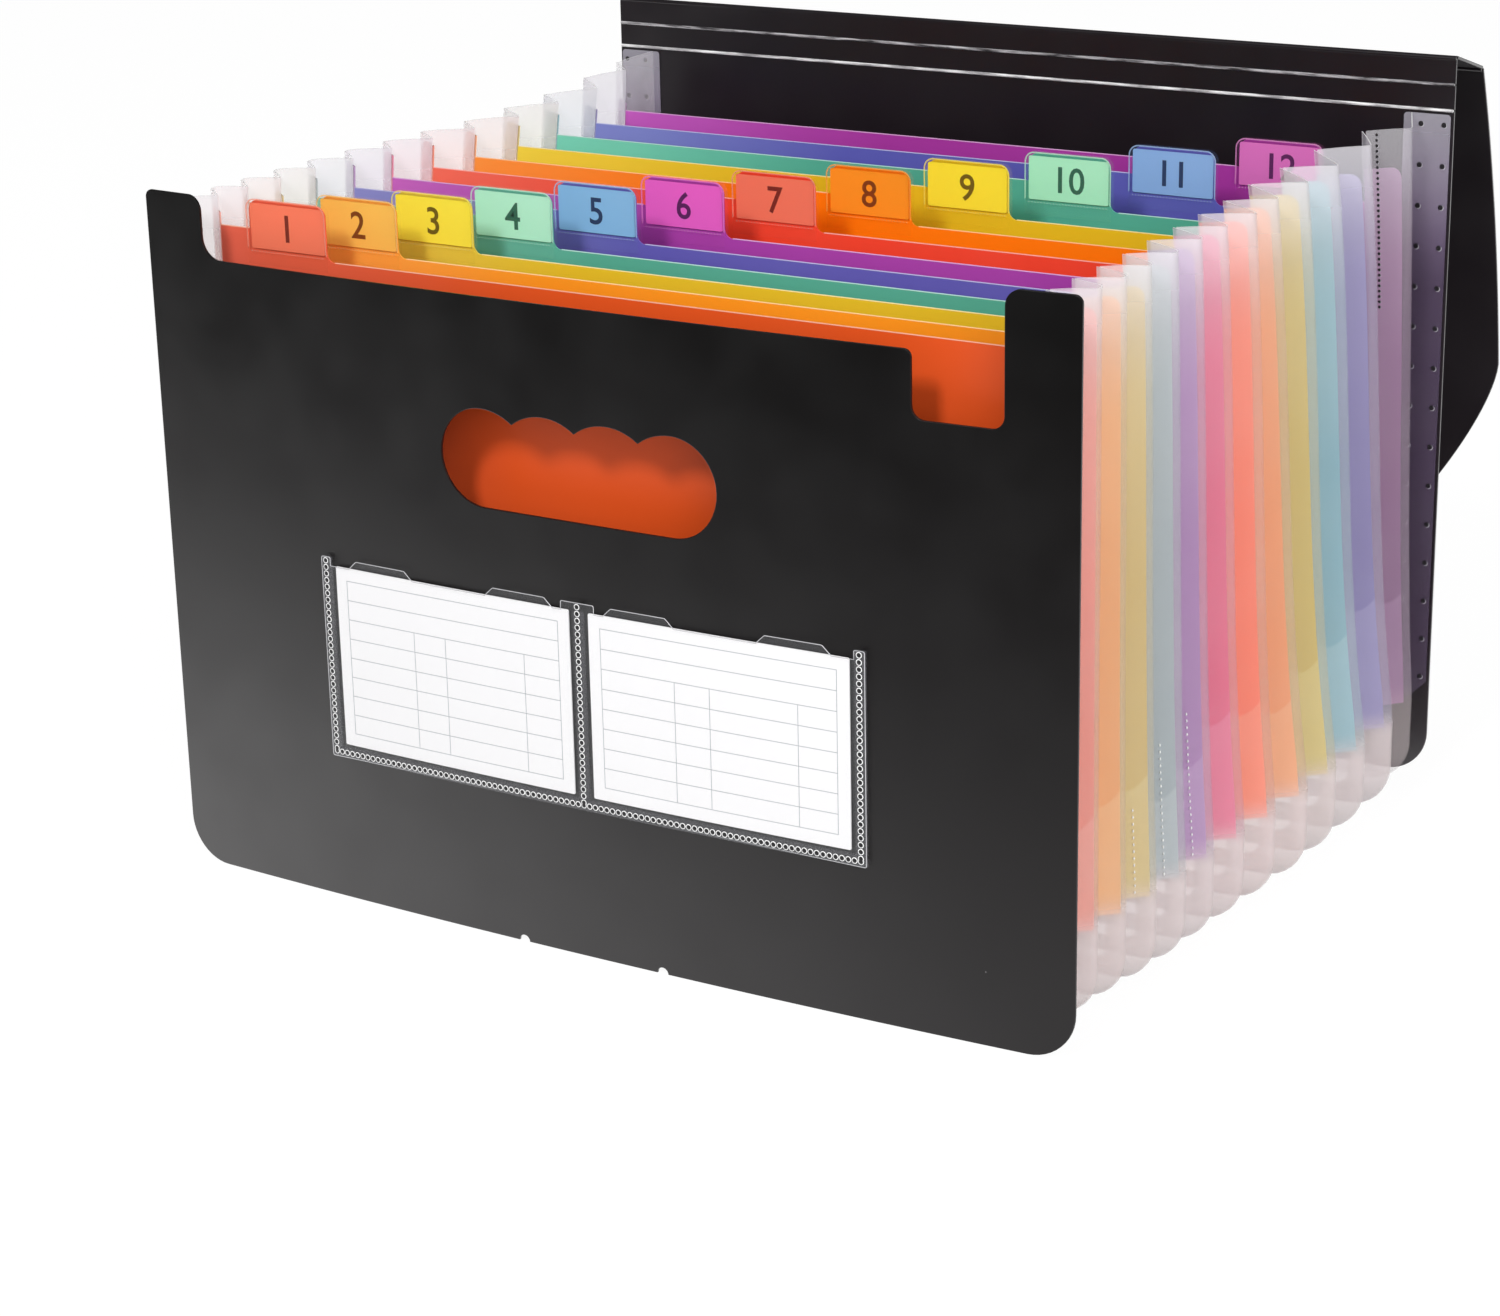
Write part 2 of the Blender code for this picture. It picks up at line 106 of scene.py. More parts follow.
def roundedLoop(corners, steps=8):
    # corners are (x, z, radius), and each radius becomes an arc
    loop = []
    for index, (x, z, radius) in enumerate(corners):
        here = Vector((x, z))
        if not radius:
            loop.append((x, z))
            continue
        back = Vector(corners[index - 1][:2]) - here
        ahead = Vector(corners[(index + 1) % len(corners)][:2]) - here
        half = back.angle(ahead) / 2
        reach = min(radius / math.tan(half), back.length * 0.45, ahead.length * 0.45)
        radius = reach * math.tan(half)
        centre = here + (back.normalized() + ahead.normalized()).normalized() * radius / math.sin(half)
        start = (here + back.normalized() * reach - centre).normalized()
        end = (here + ahead.normalized() * reach - centre).normalized()
        loop += [tuple(centre + radius * start.slerp(end, step / steps)) for step in range(steps + 1)]
    return loop


def evaluatedMesh(source, name):
    bpy.context.view_layer.update()
    mesh = bpy.data.meshes.new_from_object(source.evaluated_get(bpy.context.evaluated_depsgraph_get()))
    mesh.name = name
    bpy.data.objects.remove(source)
    return mesh


def linkedObject(name, data):
    source = bpy.data.objects.new(name, data)
    bpy.context.scene.collection.objects.link(source)
    return source


def meshFromShape(name, shape):
    mesh = bpy.data.meshes.new(name)
    shape.to_mesh(mesh)
    shape.free()
    return mesh


def mergedShape(mesh, reach):
    # points closer than reach become one, and the faces are turned outwards
    shape = bmesh.new()
    shape.from_mesh(mesh)
    bmesh.ops.remove_doubles(shape, verts=shape.verts, dist=reach)
    bmesh.ops.recalc_face_normals(shape, faces=shape.faces)
    return shape


def pathCurve(name, lines, dimensions, closed=False):
    curve = bpy.data.curves.new(name, "CURVE")
    curve.dimensions = dimensions
    for line in lines:
        spline = curve.splines.new("POLY")
        spline.points.add(len(line) - 1)
        for point, place in zip(spline.points, line):
            point.co = (*place, 1.0)
        spline.use_cyclic_u = closed
    return curve


def outlineMesh(name, loops, thickness, middleY=0.0, edge=0.0, cutsX=0):
    # flat outlines in X and Z, made a plate with softened edges
    curve = pathCurve(name, [[(x, z, 0.0) for x, z in loop] for loop in loops], "2D", closed=True)
    curve.fill_mode = "BOTH"
    curve.extrude = thickness / 2 - edge
    curve.bevel_depth = edge
    curve.bevel_resolution = 1
    curve.offset = -edge
    mesh = evaluatedMesh(linkedObject(name, curve), name)
    shape = mergedShape(mesh, 2e-6)
    low = min(v.co.x for v in shape.verts)
    high = max(v.co.x for v in shape.verts)
    for step in range(1, cutsX):
        every = shape.verts[:] + shape.edges[:] + shape.faces[:]
        place = low + (high - low) * step / cutsX
        bmesh.ops.bisect_plane(shape, geom=every, dist=1e-7, plane_co=(place, 0, 0), plane_no=(1, 0, 0))
    shape.to_mesh(mesh)
    shape.free()
    mesh.transform(Matrix.Translation((0.0, middleY, 0.0)) @ Matrix.Rotation(math.pi / 2, 4, "X"))
    return mesh


def gridMesh(name, rows):
    shape = bmesh.new()
    grid = [[shape.verts.new(place) for place in row] for row in rows]
    for row, nextRow in zip(grid, grid[1:]):
        for column in range(len(row) - 1):
            shape.faces.new((row[column], row[column + 1], nextRow[column + 1], nextRow[column]))
    return meshFromShape(name, shape)


def joinedMesh(name, meshes):
    shape = bmesh.new()
    for mesh in meshes:
        shape.from_mesh(mesh)
    return meshFromShape(name, shape)


def wallMesh(name, mesh, thickness, faces, rimOffset=0, edge=0.0):
    # an open sheet given its wall, whose cut edge takes a material further down the list
    source = linkedObject(name, mesh)
    mesh.materials.clear()
    for material in faces:
        mesh.materials.append(material)
    wall = source.modifiers.new("wall", "SOLIDIFY")
    wall.thickness = thickness
    wall.offset = 0.0
    wall.use_even_offset = True
    wall.material_offset_rim = rimOffset
    if edge:
        soft = source.modifiers.new("edge", "BEVEL")
        soft.width = edge
        soft.segments = 2
        soft.limit_method = "ANGLE"
        soft.angle_limit = math.radians(50)
    return evaluatedMesh(source, name)


def addPiece(name, mesh, body, materials=None, nodes=(), smoothAngle=20):
    piece = bpy.data.objects.new(name, mesh)
    folder.objects.link(piece)
    if materials:
        mesh.materials.clear()
        for material in materials:
            mesh.materials.append(material)
    mesh.polygons.foreach_set("use_smooth", [True] * len(mesh.polygons))
    mesh.set_sharp_from_angle(angle=math.radians(smoothAngle))
    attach(piece, body)
    if nodes:
        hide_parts(*nodes)
    return piece


def newTree(name, sockets):
    tree = bpy.data.node_groups.new(name, "GeometryNodeTree")
    tree.is_modifier = True
    tree.interface.new_socket("Geometry", in_out="INPUT", socket_type="NodeSocketGeometry")
    for label, kind, value in sockets:
        socket = tree.interface.new_socket(label, in_out="INPUT", socket_type="NodeSocket" + kind)
        if value is not None:
            socket.default_value = value
    tree.interface.new_socket("Geometry", in_out="OUTPUT", socket_type="NodeSocketGeometry")
    return tree, addNode(tree, "NodeGroupInput").outputs


def endTree(tree, geometry, material):
    real = addNode(tree, "GeometryNodeRealizeInstances", {"Geometry": geometry}).outputs[0]
    painted = addNode(tree, "GeometryNodeSetMaterial", {"Geometry": real, "Material": material}).outputs[0]
    addNode(tree, "NodeGroupOutput", {"Geometry": painted})
    return tree


def runTree(name, lines, tree, values):
    # the tree's result over these lines, as a plain mesh
    path = linkedObject(name, pathCurve(name, lines, "3D"))
    modifier = path.modifiers.new(tree.name, "NODES")
    modifier.node_group = tree
    for item in tree.interface.items_tree:
        if item.item_type == "SOCKET" and item.in_out == "INPUT" and item.name in values:
            modifier[item.identifier] = values[item.name]
    return evaluatedMesh(path, name)


def makePleatTree():
    # one pleat: a folded profile swept down one side, along the bottom and up the other side
    tree, given = newTree("pleatedFilm", [
        ("Front Outset", "Float", 0.001), ("Front Y", "Float", 0.0), ("Ridge Outset", "Float", 0.012),
        ("Ridge Y", "Float", 0.01), ("Rear Outset", "Float", 0.0), ("Rear Y", "Float", 0.02),
        ("Ridge Radius", "Float", 0.001), ("Profile Points", "Int", 22), ("Ripple", "Float", 0.001),
        ("Ripple Length", "Float", 0.05), ("Ridge Droop", "Float", 0.001), ("Film Top", "Float", 0.226),
        ("Droop Length", "Float", 0.012), ("Seed", "Float", 1.0), ("Film", "Material", None),
    ])
    places = []
    for part in ("Front", "Ridge", "Rear"):
        turned = addNode(tree, "ShaderNodeMath", {0: given[part + " Y"], 1: -1.0}, operation="MULTIPLY").outputs[0]
        places.append(addNode(tree, "ShaderNodeCombineXYZ", {"X": given[part + " Outset"], "Y": turned}).outputs[0])
    line = addNode(tree, "GeometryNodeCurvePrimitiveLine", {"End": (1.0, 0.0, 0.0)}).outputs[0]
    three = addNode(tree, "GeometryNodeResampleCurve", {"Curve": line, "Count": 3}, mode="COUNT").outputs[0]
    choice = addNode(tree, "GeometryNodeIndexSwitch", data_type="VECTOR")
    choice.index_switch_items.new()
    tree.links.new(addNode(tree, "GeometryNodeInputIndex").outputs[0], choice.inputs["Index"])
    for index, place in enumerate(places):
        tree.links.new(place, choice.inputs[str(index)])
    folded = addNode(tree, "GeometryNodeSetPosition", {"Geometry": three, "Position": choice.outputs[0]}).outputs[0]
    links = {"Curve": folded, "Count": 6, "Radius": given["Ridge Radius"], "Limit Radius": True}
    rounded = addNode(tree, "GeometryNodeFilletCurve", links, mode="POLY").outputs[0]
    links = {"Curve": rounded, "Count": given["Profile Points"]}
    spread = addNode(tree, "GeometryNodeResampleCurve", links, mode="COUNT").outputs[0]
    across = addNode(tree, "GeometryNodeSplineParameter").outputs["Factor"]
    links = {"Geometry": spread, "Name": "across", "Value": across}
    profile = addNode(tree, "GeometryNodeStoreNamedAttribute", links, data_type="FLOAT", domain="POINT").outputs[0]
    sheet = addNode(tree, "GeometryNodeCurveToMesh", {"Curve": given["Geometry"], "Profile Curve": profile}).outputs[0]

    # a ripple that is free between the welded edges and still at them
    share = addNode(tree, "GeometryNodeInputNamedAttribute", {"Name": "across"}, data_type="FLOAT").outputs[0]
    place = addNode(tree, "GeometryNodeInputPosition").outputs[0]
    scale = addNode(tree, "ShaderNodeMath", {0: 1.0, 1: given["Ripple Length"]}, operation="DIVIDE").outputs[0]
    links = {"Vector": place, "W": given["Seed"], "Scale": scale, "Detail": 1.0}
    noise = addNode(tree, "ShaderNodeTexNoise", links, noise_dimensions="4D").outputs[0]
    turn = addNode(tree, "ShaderNodeMath", {0: share, 1: math.pi}, operation="MULTIPLY").outputs[0]
    free = addNode(tree, "ShaderNodeMath", {0: turn}, operation="SINE").outputs[0]
    centred = addNode(tree, "ShaderNodeMath", {0: noise, 1: 0.5}, operation="SUBTRACT").outputs[0]
    held = addNode(tree, "ShaderNodeMath", {0: centred, 1: free}, operation="MULTIPLY").outputs[0]
    swing = addNode(tree, "ShaderNodeMath", {0: held, 1: given["Ripple"]}, operation="MULTIPLY").outputs[0]
    normal = addNode(tree, "GeometryNodeInputNormal").outputs[0]
    shift = addNode(tree, "ShaderNodeVectorMath", {0: normal, "Scale": swing}, operation="SCALE").outputs[0]
    rippled = addNode(tree, "GeometryNodeSetPosition", {"Geometry": sheet, "Offset": shift}).outputs[0]

    # the ridge droops a little near the film's upper edge
    height = addNode(tree, "ShaderNodeSeparateXYZ", {0: place}).outputs["Z"]
    links = {0: given["Film Top"], 1: given["Droop Length"]}
    low = addNode(tree, "ShaderNodeMath", links, operation="SUBTRACT").outputs[0]
    links = {"Value": height, "From Min": low, "From Max": given["Film Top"]}
    nearTop = addNode(tree, "ShaderNodeMapRange", links).outputs[0]
    bothWays = addNode(tree, "ShaderNodeMath", {0: share, 1: 2.0, 2: -1.0}, operation="MULTIPLY_ADD").outputs[0]
    fromRidge = addNode(tree, "ShaderNodeMath", {0: bothWays}, operation="ABSOLUTE").outputs[0]
    inward = addNode(tree, "ShaderNodeMath", {0: 1.0, 1: fromRidge}, operation="SUBTRACT").outputs[0]
    atRidge = addNode(tree, "ShaderNodeMath", {0: inward, 1: 3.0}, operation="POWER").outputs[0]
    fall = addNode(tree, "ShaderNodeMath", {0: atRidge, 1: nearTop}, operation="MULTIPLY").outputs[0]
    drop = addNode(tree, "ShaderNodeMath", {0: fall, 1: given["Ridge Droop"]}, operation="MULTIPLY").outputs[0]
    down = addNode(tree, "ShaderNodeVectorMath", {0: (0.0, 0.0, -1.0), "Scale": drop}, operation="SCALE").outputs[0]
    drooped = addNode(tree, "GeometryNodeSetPosition", {"Geometry": rippled, "Offset": down}).outputs[0]
    return endTree(tree, drooped, given["Film"])


def makeDotTree():
    # small raised dots at an even spacing along each line
    tree, given = newTree("weldDots", [
        ("Spacing", "Float", 0.002), ("Dot Radii", "Vector", (0.0005, 0.0001, 0.0005)), ("Dot", "Material", None),
    ])
    ball = addNode(tree, "GeometryNodeMeshUVSphere", {"Segments": 10, "Rings": 6, "Radius": 1.0}).outputs[0]
    flat = addNode(tree, "GeometryNodeTransform", {"Geometry": ball, "Scale": given["Dot Radii"]}).outputs[0]
    links = {"Curve": given["Geometry"], "Length": given["Spacing"]}
    places = addNode(tree, "GeometryNodeResampleCurve", links, mode="LENGTH").outputs[0]
    dots = addNode(tree, "GeometryNodeInstanceOnPoints", {"Points": places, "Instance": flat}).outputs[0]
    return endTree(tree, dots, given["Dot"])


def makeRingTree():
    # small flat rings at an even spacing along each line, standing in X and Z
    tree, given = newTree("weldRings", [
        ("Spacing", "Float", 0.002), ("Ring Radius", "Float", 0.0006), ("Wire Radius", "Float", 0.00015),
        ("Flatness", "Float", 0.5), ("Ring", "Material", None),
    ])
    links = {"Resolution": 12, "Radius": given["Ring Radius"]}
    circle = addNode(tree, "GeometryNodeCurvePrimitiveCircle", links).outputs[0]
    links = {"Resolution": 5, "Radius": given["Wire Radius"]}
    wire = addNode(tree, "GeometryNodeCurvePrimitiveCircle", links).outputs[0]
    ring = addNode(tree, "GeometryNodeCurveToMesh", {"Curve": circle, "Profile Curve": wire}).outputs[0]
    thin = addNode(tree, "ShaderNodeCombineXYZ", {"X": 1.0, "Y": 1.0, "Z": given["Flatness"]}).outputs[0]
    flat = addNode(tree, "GeometryNodeTransform", {"Geometry": ring, "Scale": thin}).outputs[0]
    links = {"Geometry": flat, "Rotation": (math.pi / 2, 0.0, 0.0)}
    standing = addNode(tree, "GeometryNodeTransform", links).outputs[0]
    links = {"Curve": given["Geometry"], "Length": given["Spacing"]}
    places = addNode(tree, "GeometryNodeResampleCurve", links, mode="LENGTH").outputs[0]
    rings = addNode(tree, "GeometryNodeInstanceOnPoints", {"Points": places, "Instance": standing}).outputs[0]
    return endTree(tree, rings, given["Ring"])


def makeBeadTree():
    # a round bead along each line, closed at its ends
    tree, given = newTree("creaseBead", [
        ("Radius", "Float", 0.0005), ("Sides", "Int", 12), ("Bead", "Material", None),
    ])
    links = {"Resolution": given["Sides"], "Radius": given["Radius"]}
    circle = addNode(tree, "GeometryNodeCurvePrimitiveCircle", links).outputs[0]
    links = {"Curve": given["Geometry"], "Profile Curve": circle, "Fill Caps": True}
    bead = addNode(tree, "GeometryNodeCurveToMesh", links).outputs[0]
    return endTree(tree, bead, given["Bead"])


pleatTree = makePleatTree()
dotTree = makeDotTree()
ringTree = makeRingTree()
beadTree = makeBeadTree()


def newMaterial(name, **uniform):
    # uniform numbers stand on the shader's own sockets, and patterns read Object coordinates
    material = bpy.data.materials.new(name)
    material.use_nodes = True
    tree = material.node_tree
    shader = tree.nodes["Principled BSDF"]
    for key, value in uniform.items():
        shader.inputs[key].default_value = value
    return material, tree, shader, addNode(tree, "ShaderNodeTexCoord").outputs["Object"]


def mottled(tree, point, grain, stops, detail=2.0):
    # a soft uneven tone whose patches are about as wide as grain, in metres
    links = {"Vector": point, "Scale": 1.0 / grain, "Detail": detail}
    noise = addNode(tree, "ShaderNodeTexNoise", links).outputs[0]
    return addNode(tree, "ShaderNodeValToRGB", {"Fac": noise}, stops).outputs[0]


def cloudedChange(tree, point, share, grain, swing, stops, detail=2.0):
    # a change from one colour to another whose border swings in clouds as wide as grain, in metres
    links = {"Vector": point, "Scale": 1.0 / grain, "Detail": detail}
    noise = addNode(tree, "ShaderNodeTexNoise", links).outputs[0]
    cloud = addNode(tree, "ShaderNodeMath", {0: noise, 1: swing, 2: -swing / 2}, operation="MULTIPLY_ADD").outputs[0]
    place = addNode(tree, "ShaderNodeMath", {0: share, 1: cloud}, operation="ADD").outputs[0]
    return addNode(tree, "ShaderNodeValToRGB", {"Fac": place}, stops).outputs[0]


def roughSkin(tree, point, shader, grain, strength, depth, detail=2.0):
    # fine relief: its grain and its depth in metres
    links = {"Vector": point, "Scale": 1.0 / grain, "Detail": detail}
    noise = addNode(tree, "ShaderNodeTexNoise", links).outputs[0]
    relief = addNode(tree, "ShaderNodeBump", {"Height": noise, "Strength": strength, "Distance": depth})
    tree.links.new(relief.outputs["Normal"], shader.inputs["Normal"])


def blackPolypropylene(name, low, high, paintedShadeTopZ):
    # extruded polypropylene sheet, rolled: satin, with a fine orange peel and a few pale specks of dust; its colour
    # runs from a lighter foot to a darker top, a painted reflection of the pale floor low down and painted shade higher
    # up
    material, tree, shader, point = newMaterial(name, IOR=1.49)
    height = addNode(tree, "ShaderNodeSeparateXYZ", {0: point}).outputs["Z"]
    rise = addNode(tree, "ShaderNodeMapRange", {"Value": height, "From Min": 0.0, "From Max": paintedShadeTopZ}).outputs[0]
    body = cloudedChange(tree, point, rise, grain=0.09, swing=0.25, stops=[(0.0, low), (1.0, high)], detail=3.0)
    # specks 0.5 mm across, one every 24 mm or so
    cells = addNode(tree, "ShaderNodeTexVoronoi", {"Vector": point, "Scale": 1.0 / 0.024, "Randomness": 1.0})
    links = {0: cells.outputs["Distance"], 1: 0.011}
    speck = addNode(tree, "ShaderNodeMath", links, operation="LESS_THAN").outputs[0]
    dusty = addNode(tree, "ShaderNodeMix", {0: speck, 6: body, 7: linearColour("#6c696c")}, data_type="RGBA")
    tree.links.new(dusty.outputs[2], shader.inputs["Base Color"])
    gloss = mottled(tree, point, grain=0.03, stops=[(0.3, 0.30), (0.7, 0.42)])
    tree.links.new(gloss, shader.inputs["Roughness"])
    roughSkin(tree, point, shader, grain=0.0014, strength=0.06, depth=0.0002)
    return material


def whitenedCrease(name, dark, pale):
    # polypropylene that has been creased: the bend turns white in streaks along the line, drawn twelve times as long as
    # they are thick; the pale streaks also stand in for the highlight along the crease, a painted highlight
    material, tree, shader, point = newMaterial(name, Roughness=0.30, IOR=1.49)
    stretched = addNode(tree, "ShaderNodeMapping", {"Vector": point, "Scale": (1.0, 12.0, 12.0)}).outputs[0]
    links = {"Vector": stretched, "Scale": 1.0 / 0.013, "Detail": 4.0, "Roughness": 0.65}
    streak = addNode(tree, "ShaderNodeTexNoise", links).outputs[0]
    colour = addNode(tree, "ShaderNodeValToRGB", {"Fac": streak}, [(0.4, pale), (0.6, dark)]).outputs[0]
    tree.links.new(colour, shader.inputs["Base Color"])
    return material


def colouredSheet(name, colour, paleEnd):
    # translucent coloured polypropylene sheet, extruded: satin, and paler near its left end where light comes in
    material, tree, shader, point = newMaterial(name, Roughness=0.32, IOR=1.49)
    side = addNode(tree, "ShaderNodeSeparateXYZ", {0: point}).outputs["X"]
    across = addNode(tree, "ShaderNodeMapRange", {"Value": side, "From Min": -0.147, "From Max": -0.035}).outputs[0]
    tint = cloudedChange(tree, point, across, grain=0.05, swing=0.3, stops=[(0.0, paleEnd), (1.0, colour)])
    tree.links.new(tint, shader.inputs["Base Color"])
    roughSkin(tree, point, shader, grain=0.002, strength=0.04, depth=0.0002)
    return material


def marginSheet(name, colour, line, centre):
    # the folded margin of a coloured sheet: two layers lie together above a rounded end, one below it,
    # and light that comes in from above makes the upper end paler
    material, tree, shader, point = newMaterial(name, Roughness=0.35, IOR=1.49)
    axes = addNode(tree, "ShaderNodeSeparateXYZ", {0: point}).outputs
    either = addNode(tree, "ShaderNodeMath", {0: axes["X"]}, operation="ABSOLUTE").outputs[0]
    aside = addNode(tree, "ShaderNodeMath", {0: either, 1: centre}, operation="SUBTRACT").outputs[0]
    square = addNode(tree, "ShaderNodeMath", {0: aside, 1: aside}, operation="MULTIPLY").outputs[0]
    # the end is an arc of 2.5 mm radius
    curled = addNode(tree, "ShaderNodeMath", {0: square, 1: -200.0, 2: axes["Z"]}, operation="MULTIPLY_ADD").outputs[0]
    links = {"Value": curled, "From Min": line - 0.0006, "From Max": line + 0.0006}
    step = addNode(tree, "ShaderNodeMapRange", links).outputs[0]
    stops = [(0.0, mixHex(colour, "#ffffff", 0.22)), (1.0, colour)]
    body = addNode(tree, "ShaderNodeValToRGB", {"Fac": step}, stops).outputs[0]
    links = {"Value": axes["Z"], "From Min": 0.13, "From Max": 0.22, "To Max": 0.6}
    rise = addNode(tree, "ShaderNodeMapRange", links).outputs[0]
    links = {0: rise, 6: body, 7: linearColour(mixHex(colour, "#ffffff", 0.45))}
    lit = addNode(tree, "ShaderNodeMix", links, data_type="RGBA").outputs[2]
    tree.links.new(lit, shader.inputs["Base Color"])
    return material


def frostedFilm(name, colour, alpha, roughness=0.42, whiteBands=()):
    # thin frosted polypropylene film, calendered: it scatters a little light and shows what lies behind it; each white
    # band is (from height, to height, alpha, colour), where the film is drawn whiter and more opaque
    material, tree, shader, point = newMaterial(name, Roughness=roughness, IOR=1.45, Alpha=alpha)
    tint = mottled(tree, point, grain=0.03, stops=[(0.25, mixHex(colour, "#ffffff", 0.25)), (0.75, colour)])
    height = addNode(tree, "ShaderNodeSeparateXYZ", {0: point}).outputs["Z"]
    for start, end, bandAlpha, bandColour in whiteBands:
        links = {"Value": height, "From Min": start, "From Max": end}
        share = addNode(tree, "ShaderNodeMapRange", links, interpolation_type="SMOOTHSTEP").outputs[0]
        alpha = addNode(tree, "ShaderNodeMix", {0: share, 2: alpha, 3: bandAlpha}, data_type="FLOAT").outputs[0]
        tree.links.new(alpha, shader.inputs["Alpha"])
        links = {0: share, 6: tint, 7: linearColour(bandColour)}
        tint = addNode(tree, "ShaderNodeMix", links, data_type="RGBA").outputs[2]
    tree.links.new(tint, shader.inputs["Base Color"])
    return material


def clearFilm(name, colour, alpha, roughness=0.12):
    # clear or tinted film, cast: glossy, and seen mostly by its reflections and edges
    material, tree, shader, point = newMaterial(name, Roughness=roughness, IOR=1.49, Alpha=alpha)
    tint = mottled(tree, point, grain=0.02, stops=[(0.2, colour), (0.8, mixHex(colour, "#ffffff", 0.12))])
    tree.links.new(tint, shader.inputs["Base Color"])
    roughSkin(tree, point, shader, grain=0.004, strength=0.05, depth=0.0002)
    return material


def paperStock(name, colour):
    # uncoated printing paper: matt, with faint fibre
    material, tree, shader, point = newMaterial(name, Roughness=0.8, IOR=1.5)
    tint = mottled(tree, point, grain=0.0006, stops=[(0.2, mixHex(colour, "#808080", 0.05)), (0.8, colour)], detail=4.0)
    tree.links.new(tint, shader.inputs["Base Color"])
    roughSkin(tree, point, shader, grain=0.0006, strength=0.08, depth=0.0001, detail=4.0)
    return material


def printedInk(name, colour):
    # toner on paper: dark and slightly glossy, a little uneven
    material, tree, shader, point = newMaterial(name, Roughness=0.5, IOR=1.5)
    tint = mottled(tree, point, grain=0.0008, stops=[(0.2, colour), (0.8, mixHex(colour, "#ffffff", 0.05))])
    tree.links.new(tint, shader.inputs["Base Color"])
    return material


print("materials and trees are ready")

dividerCount = 12
sheetThickness = 0.0004
coverSheet = 0.001


def nodeMiddle(node):
    low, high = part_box(node)
    return (low + high) / 2


# where each cover and sheet stands, read from the frame, and how wide the pockets between them are
panelY = [nodeMiddle("front_cover").y]
panelY += [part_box("divider_%02d" % number)[0].y + sheetThickness / 2 for number in range(1, dividerCount + 1)]
panelY += [nodeMiddle("rear_cover").y]
pocketWidths = [far - near for near, far in zip(panelY, panelY[1:])]
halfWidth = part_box("front_cover")[1].x
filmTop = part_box("gusset_pleat_05")[1].z


def foldAway(piece):
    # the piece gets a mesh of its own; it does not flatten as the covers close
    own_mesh(piece)


coverPlan = {
    "edgeHeight": 0.2065, "hornTop": 0.2265, "hornWidth": 0.023, "footRadius": 0.015,
    "hornInnerRadius": 0.0050, "hornOuterRadius": 0.0025, "hornFillet": 0.0070,
    "thumbWidth": 0.0286, "thumbDepth": 0.020, "thumbRadius": 0.0040,
    "nickRadius": 0.0020, "nickSpacing": 0.052, "softEdge": 0.00018, "bulge": 0.005,
    # the lighter foot colour is a painted reflection of the pale floor, and the darker top colour is painted shade
    "paintedReflectionFootColour": "#1b1819", "paintedShadeTopColour": "#0b0a0a", "paintedShadeHeight": 0.25,
}
handlePlan = {"endRadius": 0.0155, "centreHeight": 0.1565, "lobePitch": 0.0227, "lobeRadius": 0.0193, "lobes": 4}
coverMaterial = blackPolypropylene("blackPolypropyleneFront", coverPlan["paintedReflectionFootColour"], coverPlan["paintedShadeTopColour"],
                                   coverPlan["paintedShadeHeight"])


def bulgeForward(mesh):
    # the front cover bows towards the front between its sides
    for vertex in mesh.vertices:
        vertex.co.y -= coverPlan["bulge"] * max(0.0, 1 - (vertex.co.x / halfWidth) ** 2)
    return mesh


def frontCoverLoop(p):
    side = halfWidth
    horn = side - p["hornWidth"]
    left = horn - p["thumbWidth"]
    low = p["edgeHeight"] - p["thumbDepth"]
    corners = [(-side, 0.0, p["footRadius"])]
    for x in (-p["nickSpacing"] / 2, p["nickSpacing"] / 2):
        corners += [(px, pz, 0.0) for px, pz in arcPoints((x, 0.0), p["nickRadius"], 180, 0, 10)]
    corners += [
        (side, 0.0, p["footRadius"]), (side, p["hornTop"], p["hornOuterRadius"]),
        (horn, p["hornTop"], p["hornInnerRadius"]), (horn, low, p["thumbRadius"]),
        (left, low, p["thumbRadius"]), (left, p["edgeHeight"], p["hornOuterRadius"]),
        (-horn, p["edgeHeight"], p["hornFillet"]), (-horn, p["hornTop"], p["hornInnerRadius"]),
        (-side, p["hornTop"], p["hornOuterRadius"]),
    ]
    return roundedLoop(corners, steps=12)


def handleLoop(p):
    lobeX = [(index - (p["lobes"] - 1) / 2) * p["lobePitch"] for index in range(p["lobes"])]
    lobeZ = p["centreHeight"] + p["endRadius"] - p["lobeRadius"]
    spread = math.degrees(math.asin(p["lobePitch"] / 2 / p["lobeRadius"]))
    loop = arcPoints((lobeX[0], p["centreHeight"]), p["endRadius"], 270, 90, 28)
    loop += arcPoints((lobeX[0], lobeZ), p["lobeRadius"], 90, 90 - spread, 7)[1:]
    for x in lobeX[1:-1]:
        loop += arcPoints((x, lobeZ), p["lobeRadius"], 90 + spread, 90 - spread, 14)[1:]
    loop += arcPoints((lobeX[-1], lobeZ), p["lobeRadius"], 90 + spread, 90, 7)[1:]
    return loop + arcPoints((lobeX[-1], p["centreHeight"]), p["endRadius"], 90, -90, 28)[1:]


frontLoops = [frontCoverLoop(coverPlan), handleLoop(handlePlan)]
frontMesh = outlineMesh("frontCoverSheet", frontLoops, coverSheet, panelY[0], coverPlan["softEdge"], cutsX=40)
addPiece("frontCoverSheet", bulgeForward(frontMesh), "front_cover", [coverMaterial], ["front_cover"])
print("front cover made")

